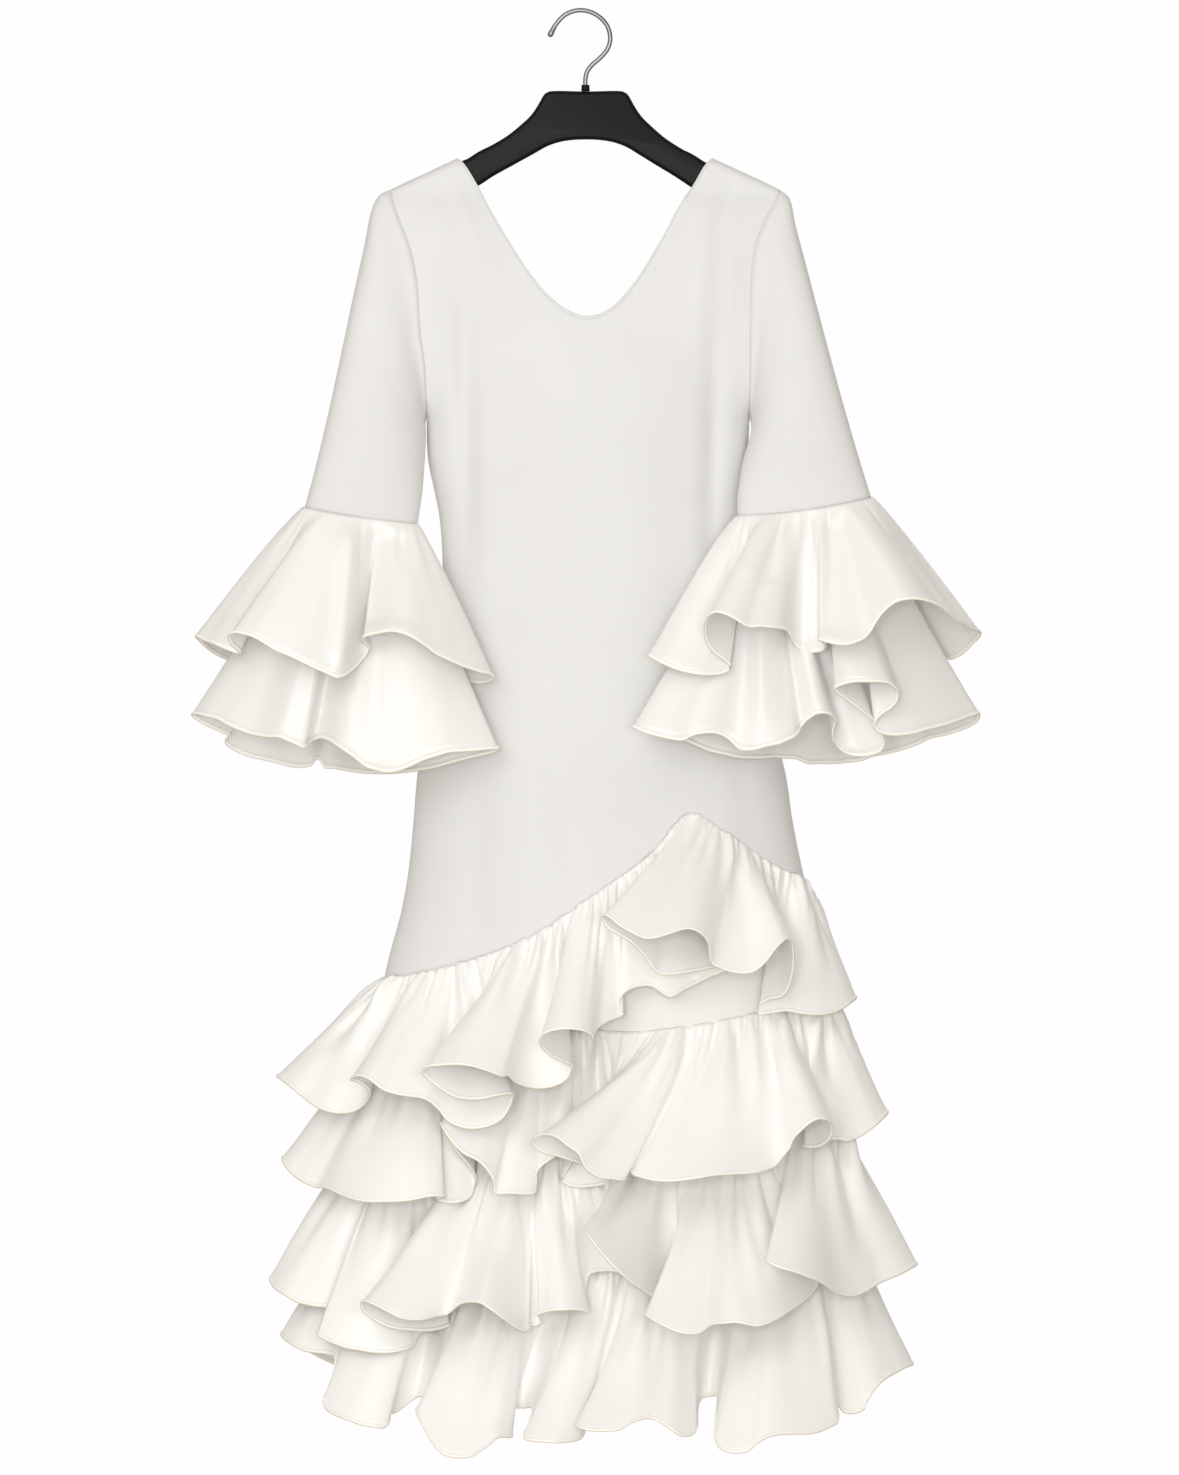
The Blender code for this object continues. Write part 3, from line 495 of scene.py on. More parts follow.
def body_point(u, down):
    """(x, down, fore) of the body's front surface, u from -1 at its left edge to 1."""
    left, right, half = body_edges(down)
    x = (left + right) / 2 + u * (right - left) / 2
    below = max(0.0, down - SHOULDER_TOP - SHOULDER_SLOPE * (abs(x) - SHOULDER_IN))
    cap = HANGER_ROOM * math.sqrt(1 - (1 - min(below / HANGER_ROOM, 1)) ** 2)
    cap *= 1 - min(max((down - ROOM_FROM) / ROOM_OVER, 0), 1)
    edge = max(armhole_fore(down), cap)
    t = min(max((down - SHOULDER_TIP) / (UNDERARM - SHOULDER_TIP), 0), 1)
    bend = 0.5 + 0.5 * math.sin(math.pi * t) ** 2
    full = max(0.0, 1 - abs(u) ** 2) ** bend * min(1, below / SHOULDER_FADE)
    # the armhole's edge is felt less far in towards the underarm
    near = (1 - full) ** (1 + 1.5 * min(max((t - 0.55) / 0.4, 0), 1))
    return Vector((x, down, max(half, edge) * full + edge * near))


def seam_curve(rows):
    """A tier's sewing line over the body, from one side seam to the other: x, down, fore."""
    flat, _ = through([Vector((x, down, 0)) for x, down in rows], SEAM_STEP, False)
    found = []
    for n, point in enumerate(flat):
        left, right, half = body_edges(point.y)
        u = (2 * point.x - left - right) / (right - left)
        u = -1.0 if n == 0 else 1.0 if n == len(flat) - 1 else min(max(u, -1), 1)
        x = (left + right) / 2 + u * ((right - left) / 2 + STAND_OFF)
        fore = (half + STAND_OFF) * math.sqrt(1 - u * u)
        found.append((Vector((x, point.y, fore)), u))
    return found


PANEL_STEP = 1.5  # degrees round the body
# down from the neck's edge, and out: the turned edge and the groove of its row of stitches
PANEL_TOP = [
    (0.0, 0.0), (0.5, 0.5), (1.5, 0.65), (2.4, 0.45), (2.9, -0.45), (3.5, 0.0), (5.5, 0.0),
    (8.5, 0.0),
]
PANEL_ROWS = 120
CALM_TOP, CALM_FOOT, CALM_LEAST = 12.0, 25.0, 0.3  # no folds at the neck, few at the foot
# long soft folds: x, down at the top; x, down at the foot; half width, height
FRONT_FOLDS = [
    (-122, 270, -118, 560, 11, -10.0), (-145, 205, -137, 445, 11, 3.6), (-158, 240, -154, 400, 7, -2.4),
    (-133, 450, -128, 640, 17, -3.2), (122, 180, 110, 350, 12, 4.0), (131, 300, 124, 560, 11, -10.0),
    (146, 220, 150, 345, 7, 2.2), (-92, 360, -100, 930, 30, 3.2), (-106, 730, -112, 975, 15, -4.2),
    (-60, 680, -52, 985, 26, 4.0), (-84, 540, -70, 760, 16, -2.0), (40, 380, 30, 700, 34, 2.2),
    (96, 520, 92, 790, 20, -2.6), (150, 640, 166, 850, 16, -3.0), (-160, 800, -170, 960, 12, 2.6),
    (-152, 158, -126, 232, 8, -2.4), (-136, 160, -104, 250, 7, 2.0), (150, 158, 128, 226, 8, -2.2),
    (-20, 780, -8, 900, 14, -2.2), (-150, 520, -160, 720, 10, 2.0), (136, 560, 150, 700, 12, 2.2),
]
BACK_FOLDS = [
    (-112, 190, -120, 440, 13, -4.0), (-138, 240, -134, 520, 11, 3.0), (118, 200, 126, 430, 13, -4.4),
    (60, 330, 52, 620, 30, 3.0), (-50, 420, -40, 760, 28, 3.4), (-10, 560, 0, 830, 18, -3.4),
    (104, 620, 120, 860, 18, 3.2), (-128, 650, -140, 930, 16, -3.6), (-84, 700, -80, 930, 20, 3.0),
    (146, 480, 160, 720, 12, -2.6), (20, 700, 34, 880, 14, 2.4),
]


def folded(folds, x, down):
    """How far these folds lift the cloth here."""
    lift = 0.0
    for x0, d0, x1, d1, wide, high in folds:
        t = (down - d0) / (d1 - d0)
        if 0 < t < 1:
            apart = (x - x0 - (x1 - x0) * t) / wide
            lift += high * math.exp(-apart * apart) * math.sin(math.pi * t) ** 0.8
    return lift


def panel(name, node, seam_rows, neck_drop, folds, back):
    seam = sorted((u, point.y) for point, u in seam_curve(seam_rows))
    curve, _ = through([Vector((x, down, 0)) for x, down in NECK], 2.0, False)
    neck = [(-1.0, SHOULDER_TIP)]
    for point in curve:
        left, right, _ = body_edges(point.y)
        lower = point.y + neck_drop * max(0.0, 1 - abs(point.x) / SHOULDER_IN)
        neck.append(((2 * point.x - left - right) / (right - left), lower))
    neck.append((1.0, SHOULDER_TIP))
    angles = [-90 + PANEL_STEP * n for n in range(int(180 / PANEL_STEP) + 1)]
    angles += [math.degrees(math.asin(neck[k][0])) for k in (1, -2)]
    grid = []
    for j in range(PANEL_ROWS + 1):
        row = []
        for angle in sorted(angles):
            u = math.sin(math.radians(angle))
            top, foot = at(neck, u, 1), at(seam, u, 1)
            # the neck's edge is turned and stitched; the shoulder's is not
            neck_edge = 1 if neck[1][0] < u < neck[-2][0] else 0
            lift = 0.0
            if j < len(PANEL_TOP):
                down = top + PANEL_TOP[j][0]
                lift = PANEL_TOP[j][1] * neck_edge
            else:
                share = (j + 1 - len(PANEL_TOP)) / (PANEL_ROWS + 1 - len(PANEL_TOP))
                down = top + PANEL_TOP[-1][0] + share * (foot - top - PANEL_TOP[-1][0])
            point = body_point(u, down)
            calm = min(1, (down - top) / CALM_TOP, (foot - down) / CALM_FOOT + CALM_LEAST)
            calm *= 1 - abs(u) ** 4
            fore = point.z + lift + folded(folds, point.x, point.y) * calm
            row.append((point.x, point.y, -fore if back else fore))
        grid.append(row)
    piece = cloth_piece(name, grid, False, SHADED_CREPE)
    stands_for(piece, node)
    return piece


front = panel("front_cloth", "front_panel", TIER_SEAM[1], 0.0, FRONT_FOLDS, False)
back = panel("back_cloth", "back_panel", BACK_SEAM[1], BACK_NECK_DROP, BACK_FOLDS, True)

# ---------------------------------------------------------------- skirt foundation
# Under the ruffles the body goes on as a plain crepe skirt, with a front and a back. The
# four tiers are sewn to it, so it shows only between their folds and from below.
FOUNDATION_ROWS = 36
FOUNDATION_PAST = 8.0  # how far it goes on under the last sewing line
# painted light: the under-skirt's crepe is the body's cloth painted lighter, to lift the shade that the
# tiers cast on it
LIT_UNDER_CREPE = crepe("under_crepe_painted_light", (0.9, 0.893, 0.875), (0.88, 0.87, 0.85), 0.62, 0.3, 0.1)


def foundation(name, node, top_rows, foot_rows, back):
    top = sorted((u, point.y) for point, u in seam_curve(top_rows))
    foot = sorted((u, point.y) for point, u in seam_curve(foot_rows))
    grid = []
    for j in range(FOUNDATION_ROWS + 1):
        row = []
        for n in range(int(180 / PANEL_STEP) + 1):
            u = math.sin(math.radians(-90 + PANEL_STEP * n))
            first, last = at(top, u, 1), at(foot, u, 1) + FOUNDATION_PAST
            point = body_point(u, first + j / FOUNDATION_ROWS * (last - first))
            row.append((point.x, point.y, -point.z if back else point.z))
        grid.append(row)
    piece = cloth_piece(name, grid, False, LIT_UNDER_CREPE)
    stands_for(piece, node)
    return piece


under_front = foundation(
    "under_skirt_front", "skirt_foundation_front", TIER_SEAM[1], TIER_SEAM[4], False
)
under_back = foundation(
    "under_skirt_back", "skirt_foundation_back", BACK_SEAM[1], BACK_SEAM[4], True
)

# ---------------------------------------------------------------- skirt ruffles
# Four deep ruffles, each one strip of crepe gathered to a line round the skirt. The strips
# are far longer than their seams, so they fall in folds that turn back on themselves, and
# their free edges have a narrow rolled hem with a fine thread.

# The hem goes from the left side by the front to the right side, and each row is one leg
# of it, up to where it turns: x, down, out from the body.
TIER_START = {1: (-309, 1063), 2: (-304, 1145), 3: (-316, 1265), 4: (-305, 1321)}
TIER_LEGS = {
    1: [
        (-296, 1072, 12,  -280, 1085, 22,  -264, 1095, 32,  -244, 1099, 36,  -227, 1095, 40,
         -219, 1087, 44),
        (-216, 1078, 52,  -221, 1071, 62,  -230, 1066, 68,  -234, 1065, 74),
        (-227, 1061, 84,  -216, 1064, 90,  -201, 1075, 88,  -183, 1080, 84,  -160, 1084, 76),
        (-148, 1093, 72,  -137, 1106, 72,  -119, 1113, 72,  -101, 1112, 70,  -84, 1104, 70,  -75, 1090, 72,
         -73, 1080, 76),
        (-86, 1080, 84,  -101, 1083, 88,  -116, 1084, 90,  -131, 1081, 94,  -146, 1072, 98,
         -158, 1062, 102,  -163, 1057, 108),
        (-159, 1052, 114,  -146, 1050, 118,  -131, 1049, 120,  -116, 1050, 119,  -99, 1055, 114,
         -83, 1061, 104,  -78, 1060, 92),
        (-69, 1068, 78,  -52, 1073, 68,  -35, 1072, 66,  -20, 1065, 66,  -14, 1053, 68),
        (-22, 1047, 76,  -33, 1042, 84,  -43, 1033, 92,  -46, 1025, 100),
        (-40, 1018, 108,  -26, 1014, 112,  -12, 1014, 110,  -2, 1016, 104,  5, 1020, 96,  6, 1024, 90),
        (12, 1013, 66,  23, 1006, 58,  32, 1003, 52,  38, 1000, 50),
        (34, 991, 50,  34, 984, 52,  42, 976, 50,  54, 972, 46,  65, 972, 44,  76, 979, 44,  84, 983, 44,
         97, 976, 42,  111, 969, 40,  125, 962, 44,  139, 956, 50),
        (130, 953, 60,  118, 955, 66,  101, 958, 74,  85, 960, 78,  72, 959, 80,  65, 952, 82,  59, 942, 82,
         46, 929, 86,  30, 919, 90,  20, 912, 92,  16, 902, 96),
        (23, 903, 106,  33, 911, 112,  45, 918, 115,  59, 924, 116,  71, 923, 116,  84, 919, 115,
         96, 915, 114,  106, 915, 112,  116, 921, 108,  122, 930, 102,  123, 939, 98),
        (125, 949, 94,  137, 955, 92,  148, 958, 92,  159, 959, 92,  169, 956, 92,  180, 946, 94,
         188, 935, 95,  196, 927, 94,  200, 925, 90),
        (205, 928, 84,  207, 939, 74,  207, 951, 66,  205, 964, 60,  201, 976, 54,  194, 983, 48,
         181, 986, 42,  172, 993, 40,  172, 1000, 42),
        (185, 999, 40,  200, 997, 38,  216, 1000, 36,  233, 1001, 32,  246, 999, 26,  256, 995, 20,
         265, 989, 12),
    ],
    2: [
        (-299, 1154, 8,  -291, 1162, 14,  -282, 1168, 20,  -269, 1173, 26,  -263, 1173, 34),
        (-255, 1175, 46,  -241, 1181, 60,  -221, 1186, 72,  -199, 1186, 76,  -177, 1185, 74,
         -156, 1181, 68,  -141, 1181, 60),
        (-148, 1185, 50,  -135, 1188, 46,  -122, 1186, 42,  -114, 1181, 38,  -111, 1172, 36),
        (-110, 1164, 38,  -117, 1151, 44,  -131, 1134, 52,  -145, 1109, 60),
        (-141, 1116, 66,  -133, 1127, 68,  -122, 1138, 70,  -108, 1145, 70,  -99, 1154, 68,  -92, 1166, 66,
         -91, 1177, 64),
        (-74, 1178, 62,  -55, 1179, 56,  -50, 1177, 52,  -50, 1161, 50,  -46, 1153, 50,  -36, 1145, 52,
         -23, 1138, 52),
        (-14, 1146, 42,  -24, 1166, 36,  -12, 1172, 34,  10, 1171, 38,  38, 1165, 44),
        (20, 1157, 58,  -6, 1148, 72,  -30, 1140, 80,  -42, 1137, 84,  -50, 1132, 86,  -54, 1126, 90),
        (-46, 1120, 96,  -37, 1119, 104,  -28, 1122, 110,  -19, 1129, 113,  -7, 1138, 113,  -2, 1150, 109,
         7, 1158, 104,  13, 1161, 101,  27, 1163, 94,  38, 1164, 88),
        (40, 1158, 80,  44, 1156, 78,  47, 1159, 86),
        (54, 1161, 92,  66, 1164, 97,  81, 1165, 102,  95, 1164, 106,  110, 1162, 108,  129, 1159, 105,
         149, 1158, 98,  168, 1157, 92,  180, 1154, 86,  189, 1150, 82,  196, 1141, 80,  203, 1132, 82),
        (206, 1124, 86,  213, 1116, 92,  222, 1108, 96,  230, 1104, 96,  239, 1105, 92,  245, 1111, 84,
         244, 1122, 74,  236, 1130, 62,  227, 1133, 52,  217, 1132, 44),
        (251, 1125, 30,  259, 1127, 26,  270, 1124, 20,  282, 1117, 14,  292, 1109, 8),
    ],
    3: [
        (-314, 1271, 3,  -309, 1276, 7,  -300, 1281, 12,  -290, 1287, 16,  -280, 1290, 18,  -268, 1292, 20,
         -259, 1293, 23),
        (-257, 1298, 28,  -260, 1306, 36,  -265, 1314, 42,  -268, 1319, 45),
        (-261, 1324, 50,  -251, 1328, 54,  -239, 1332, 57,  -227, 1334, 58,  -215, 1336, 58,
         -198, 1337, 56,  -184, 1335, 52,  -174, 1332, 46,  -170, 1327, 40),
        (-166, 1319, 38,  -158, 1314, 38,  -148, 1310, 40,  -139, 1309, 45,  -136, 1310, 50),
        (-145, 1313, 56,  -160, 1315, 64,  -174, 1314, 70,  -186, 1313, 74,  -198, 1310, 77,
         -208, 1305, 80,  -217, 1299, 84,  -223, 1292, 89,  -223, 1286, 94),
        (-218, 1285, 101,  -208, 1289, 107,  -194, 1296, 112,  -186, 1300, 112,  -179, 1302, 108,
         -167, 1303, 100,  -157, 1302, 92,  -150, 1300, 85,  -144, 1299, 80,  -138, 1298, 78),
        (-131, 1292, 82,  -124, 1287, 88,  -114, 1285, 96,  -104, 1286, 103,  -95, 1292, 104,
         -83, 1301, 98,  -74, 1308, 90,  -66, 1313, 80,  -61, 1315, 72,  -56, 1312, 66),
        (-57, 1309, 58,  -50, 1310, 54,  -45, 1307, 54,  -45, 1302, 58,  -48, 1299, 64),
        (-41, 1296, 72,  -34, 1294, 80,  -22, 1293, 84,  -10, 1293, 80,  2, 1295, 72,  2, 1291, 66),
        (-1, 1280, 56,  0, 1268, 48,  4, 1259, 42,  14, 1256, 38,  26, 1256, 36,  36, 1259, 36,
         43, 1264, 38,  52, 1270, 42,  57, 1272, 46),
        (50, 1266, 55,  40, 1259, 60,  28, 1249, 66,  17, 1236, 72,  8, 1223, 78,  2, 1215, 84,
         -2, 1211, 90),
        (-1, 1213, 96,  1, 1218, 101,  7, 1226, 105,  14, 1235, 109,  24, 1246, 112,  34, 1256, 110,
         44, 1265, 100,  54, 1272, 88,  64, 1279, 74,  75, 1284, 60,  86, 1286, 54,  94, 1287, 56),
        (92, 1289, 64,  86, 1291, 72,  77, 1293, 80,  66, 1295, 90,  58, 1297, 98),
        (64, 1301, 106,  71, 1305, 112,  81, 1310, 116,  91, 1314, 119,  101, 1316, 120,  109, 1316, 118,
         114, 1315, 116,  119, 1311, 112,  126, 1307, 106,  139, 1306, 102,  149, 1305, 103,
         159, 1307, 104,  169, 1309, 102,  179, 1307, 97,  189, 1303, 90,  199, 1297, 80,  209, 1291, 68,
         219, 1284, 56,  226, 1277, 46,  231, 1270, 40),
        (232, 1263, 40,  228, 1256, 48,  218, 1253, 60,  206, 1252, 70,  196, 1250, 77,  187, 1246, 83,
         180, 1243, 89),
        (178, 1243, 94,  183, 1247, 99,  189, 1250, 102,  199, 1253, 104,  209, 1256, 103,  219, 1260, 99,
         229, 1264, 92,  239, 1270, 82,  248, 1277, 70,  256, 1280, 60,  266, 1281, 50,  274, 1279, 42,
         284, 1274, 32,  294, 1268, 22,  304, 1264, 14,  316, 1259, 7,  326, 1254, 2),
    ],
    4: [
        (-303, 1324, 3,  -296, 1329, 7,  -289, 1333, 11,  -279, 1337, 14,  -270, 1338, 16,  -260, 1339, 18,
         -251, 1341, 22),
        (-250, 1349, 27,  -252, 1360, 34,  -256, 1372, 42,  -262, 1386, 49),
        (-259, 1393, 56,  -253, 1397, 62,  -244, 1401, 68,  -235, 1404, 72,  -223, 1408, 74,
         -211, 1410, 72,  -202, 1411, 68,  -197, 1408, 62,  -196, 1402, 54),
        (-195, 1398, 40,  -188, 1396, 30,  -176, 1387, 22,  -169, 1382, 20,  -161, 1380, 26,
         -156, 1380, 36),
        (-157, 1384, 52,  -161, 1387, 70,  -167, 1391, 80,  -169, 1394, 88),
        (-166, 1400, 94,  -161, 1410, 100,  -154, 1422, 106,  -147, 1431, 110,  -138, 1437, 112,
         -126, 1439, 110,  -114, 1438, 106,  -105, 1433, 100,  -95, 1426, 93,  -88, 1420, 86,
         -81, 1419, 78,  -74, 1420, 70),
        (-76, 1413, 50,  -77, 1402, 34,  -75, 1396, 22,  -69, 1392, 16,  -62, 1392, 18,  -55, 1391, 30),
        (-53, 1396, 48,  -55, 1403, 70,  -59, 1412, 80,  -62, 1419, 88),
        (-57, 1422, 94,  -45, 1423, 98,  -33, 1424, 99,  -22, 1424, 94,  -12, 1423, 86,  -5, 1421, 76,
         -3, 1418, 68,  0, 1412, 62,  6, 1407, 62,  10, 1404, 68),
        (4, 1403, 76,  -4, 1403, 84,  -9, 1405, 92,  -9, 1408, 98,  -5, 1410, 103),
        (5, 1412, 108,  21, 1412, 112,  33, 1411, 112,  42, 1406, 108,  52, 1402, 102,  64, 1400, 96,
         74, 1404, 97,  83, 1410, 100,  91, 1416, 99,  99, 1418, 93,  107, 1416, 85,  110, 1411, 78),
        (110, 1400, 50,  112, 1388, 28,  117, 1382, 12,  124, 1380, 12,  130, 1380, 26),
        (131, 1388, 46,  129, 1402, 70,  128, 1414, 82,  128, 1421, 90),
        (131, 1428, 98,  137, 1432, 105,  145, 1434, 110,  154, 1434, 113,  162, 1432, 114,  168, 1426, 113,
         176, 1421, 111,  183, 1418, 109,  196, 1416, 105,  209, 1416, 100,  222, 1416, 95,  232, 1414, 90,
         242, 1410, 83,  250, 1406, 76,  251, 1399, 66,  249, 1392, 54),
        (248, 1389, 44,  252, 1391, 37,  257, 1397, 34,  263, 1398, 34,  274, 1396, 34,  278, 1393, 33,
         279, 1388, 32),
        (282, 1384, 31,  285, 1378, 29,  291, 1371, 26,  296, 1366, 22,  304, 1361, 16,  310, 1358, 11,
         318, 1354, 6),
    ],
}
TIER_END = {1: (270, 985), 2: (302, 1099), 3: (331, 1251), 4: (327, 1351)}
# the back's waves, from the right side to the left: share of the width each takes
BACK_WAVES = {
    1: [1.0, 1.3, 0.9, 1.2, 0.8, 1.3, 1.0, 0.9],
    2: [0.9, 1.1, 1.4, 0.8, 1.2, 1.0, 1.3, 0.8],
    3: [1.2, 0.9, 1.3, 1.0, 0.8, 1.4, 0.9, 1.1],
    4: [1.0, 1.2, 0.8, 1.3, 1.1, 0.9, 1.2, 1.0],
}
WIDTH_OF_RUFFLE = 165.0
# how far a wave's crest and the trough after it stand out, how uneven they are, how far out
# the hem turns before and behind the crest, and how far past the wave's share it turns
CREST_OUT, TROUGH_OUT = 98.0, 56.0
CREST_UNEVEN, TROUGH_UNEVEN = 9.0, 4.0
TURN_BEFORE, TURN_BEHIND, TURN_PAST = 74.0, 72.0, 0.19
# towards the sides the waves die out: how far out they may stand at the side, how much more
# to each mm in, and over what stretch the hem comes up to the front's corner
SIDE_OUT, SIDE_RISE, SIDE_REACH = 8.0, 0.75, 90.0
# how much deeper the front's troughs go than the table says, as a share of their depth, how
# this fades to the sides, and how near the body they may come
FOLD_DEEPER = {1: 0.45, 2: 0.45, 3: 0.45, 4: 0.15}
DEEPER_FADE, NEAREST = 2.5, 10.0
# how a tier leaves its seam in the middle, at the left and at the right: over 1 it hangs
# before it spreads, and under 1 it springs out at once
FLARE = {1: (1.05, 1.0, 1.0), 2: (1.2, 0.95, 1.12), 3: (1.25, 0.85, 1.0), 4: (1.25, 0.75, 0.95)}
HEM_STEP = 4.5
RUFFLE_CLOTH = 0.7
# painted light: the ruffles' crepe is the body's cloth painted much lighter, for the light that their
# outward, upturned faces catch
LIT_RUFFLE_CREPE = crepe("ruffle_crepe_painted_light", (0.968, 0.962, 0.945), (0.95, 0.94, 0.918), 0.36, 0.7, 0.1)
# painted highlight: the rolled hem is painted lighter still, a bright line along each hem
LIT_HEM_CREPE = crepe("hem_crepe_painted_highlight", (0.985, 0.97, 0.93), (0.97, 0.95, 0.90), 0.42, 0.6, 0.3)
# the thread's tan is its own colour, made deeper to stand also for the shade under the rolled hem: painted
# shade
HEM_THREAD_AND_SHADE = plain_paint("hem_thread_and_painted_shade", (0.69, 0.585, 0.44), 0.7)
THREAD_THICK, THREAD_SIDES = 0.42, 6
RUFFLE_ROWS, ROWS_CROWD = 40, 1.15  # the rows lie closer together at the seam
SKIRT_WIDE, SKIRT_DEEP = 250.0, 80.0
TUCK_IN, TUCK_UP = 2.4, 1.2  # the gathered edge turns in to its seam
FACE_SPAN = 4  # columns each way that the cloth's way out is taken over
# the gathers' creases: mm apart at the seam, half width, depth, and how far down they run
GATHER_EVERY, GATHER_WIDE, GATHER_DEEP, GATHER_REACH = 7.0, 1.9, 6.6, 0.5
# a crease: how high the cloth rounds up beside it and how deep two may go together, as shares
# of its depth, how far it leans, how it widens, and over how many half widths it is felt
CREASE_ROUND, CREASE_LOWEST, CREASE_LEAN, CREASE_WIDENS, CREASE_FELT = 0.45, 0.75, 14.0, 2.4, 3.2
# longer folds below them: mm apart half-way down, half width, height, share left at the seam
FALL = (26.0, 10.0, 10.5, 0.2)
FALL_LEAN, RIDGE_WIDER, TROUGH_NARROWER = 18.0, 1.5, 0.9
HEM_HIGH, HEM_THICK, HEM_SIDES = 2.1, 1.45, 8
HEM_UP, THREAD_DOWN = 0.7, 0.3  # of the hem's half height, from the cloth's edge


def hem_fore(tier, x, down):
    """Where the hem would lie if it stood off the body by nothing, rounder than the body."""
    left, right = TIER_START[tier][0], TIER_END[tier][0]
    u = (2 * x - left - right) / (right - left)
    return body_edges(down)[2] * math.sqrt(max(0.0, 1 - u * u))


def back_hem(tier):
    """Points of the hem across the back, from the right side to the left."""
    (x0, d0), (x1, d1) = TIER_END[tier], TIER_START[tier]
    shares = BACK_WAVES[tier]
    seam = sorted((point.x, point.y) for point, _ in seam_curve(BACK_SEAM[tier]))
    found = []
    place = 0.0
    for n, share in enumerate(shares):
        ends = [place / sum(shares), (place + share) / sum(shares)]
        place += share
        start, stop = (x0 + (x1 - x0) * e for e in ends)
        past = TURN_PAST * abs(stop - start)
        crest = CREST_OUT + CREST_UNEVEN * math.sin(2.3 * n + tier)
        trough = TROUGH_OUT + TROUGH_UNEVEN * math.sin(1.7 * n + tier)
        marks = [
            (start - past, TURN_BEFORE),
            ((start + stop) / 2, crest),
            (stop + past, TURN_BEHIND),
            (stop, trough),
        ]
        if n == 0:
            marks = marks[1:]
        if n == len(shares) - 1:
            marks = marks[:2]
        for x, out in marks:
            edge = min(x - x1, x0 - x)
            out = min(out, SIDE_OUT + SIDE_RISE * max(edge, 0))
            low = at(seam, x, 1) + math.sqrt(WIDTH_OF_RUFFLE**2 - out**2) - 3
            side_low = d0 + (d1 - d0) * (x - x0) / (x1 - x0)
            near = max(0.0, 1 - edge / SIDE_REACH)
            down = low + (side_low - low) * near
            found.append(Vector((x, down, -(hem_fore(tier, x, down) + out))))
    return found


def front_hem(tier):
    found = []
    width = TIER_END[tier][0] - TIER_START[tier][0]
    for row in TIER_LEGS[tier]:
        for k in range(0, len(row), 3):
            x, down, out = row[k : k + 3]
            u = (2 * x - TIER_START[tier][0] - TIER_END[tier][0]) / width
            more = FOLD_DEEPER[tier] * max(0.0, 1 - abs(u) ** DEEPER_FADE)
            out = min(out, max(NEAREST, out - (CREST_OUT - out) * more))
            found.append(Vector((x, down, hem_fore(tier, x, down) + out)))
    return found


def reaches(samples):
    """How far along the curve each sample lies."""
    found = [0.0]
    for a, b in zip(samples, samples[1:]):
        found.append(found[-1] + (b - a).length)
    return found


def along(samples, shares):
    """Points of the curve at these shares of its length."""
    reach = np.array(reaches(samples))
    points = np.array([tuple(p) for p in samples])
    places = np.array(shares) * reach[-1]
    return [Vector([np.interp(place, reach, points[:, k]) for k in range(3)]) for place in places]


def shares_between(samples, first, last):
    reach = reaches(samples[first : last + 1])
    return [r / reach[-1] for r in reach]


def outward(points):
    """The unit normals of a closed cloth, taken over a few columns."""
    east = np.roll(points, -FACE_SPAN, 1) - np.roll(points, FACE_SPAN, 1)
    normal = np.cross(east, np.gradient(points, axis=0))
    return normal / np.maximum(np.linalg.norm(normal, axis=-1, keepdims=True), 1e-9)


def falling_cloth(hem, seam, flare, rows):
    """Rows of cloth from the seam to the hem, closed round."""
    low = np.array([tuple(p) for p in hem])
    high = np.array([tuple(p) for p in seam])
    left, right = high[:, 0].min(), high[:, 0].max()
    side = (2 * high[:, 0] - left - right) / (right - left)
    bend = flare[0] + (np.where(side < 0, flare[1], flare[2]) - flare[0]) * side**4
    v = np.linspace(0, 1, rows)[:, None] ** ROWS_CROWD
    out, fall = v**bend, v ** (2 - bend**0.5)
    power = np.stack([out, fall, out], axis=2)
    return high + (low - high) * power, v[:, 0]


def gather(points, v, draw, every, deep, reach):
    """Narrow creases at the gathered seam, round between, that fade down the cloth."""
    seam = points[0]
    steps = np.linalg.norm(np.roll(seam, -1, 0) - seam, axis=1)
    place = np.concatenate([[0.0], np.cumsum(steps)])
    total, place = place[-1], place[:-1]
    normal = outward(points)
    spot = 0.0
    push = np.zeros(points.shape[:2])
    while spot < total - every * 0.5:
        spot += every * draw.uniform(0.55, 1.6)
        wide = GATHER_WIDE * draw.uniform(0.7, 1.5)
        down = deep * draw.uniform(0.45, 1.25)
        far = reach * draw.choice((0.28, 0.38, 0.5, 0.7, 1.0, 1.6)) * draw.uniform(0.8, 1.2)
        lean = draw.uniform(-CREASE_LEAN, CREASE_LEAN)
        middle = spot + lean * v
        apart = np.abs(place[None, :] - middle[:, None])
        apart = np.minimum(apart, total - apart)
        spread = wide * (1 + CREASE_WIDENS * v[:, None])
        crease = CREASE_ROUND - np.exp(-apart / spread) * (1 + CREASE_ROUND)
        fade = np.clip(1 - v / far, 0, 1) ** 1.2 * np.clip(0.25 + v / 0.04, 0, 1)
        push += down * crease * fade[:, None] * (apart < CREASE_FELT * spread)
    push = np.maximum(push, -CREASE_LOWEST * deep)
    push = (np.roll(push, 1, 1) + 2 * push + np.roll(push, -1, 1)) / 4
    return points + normal * push[..., None]


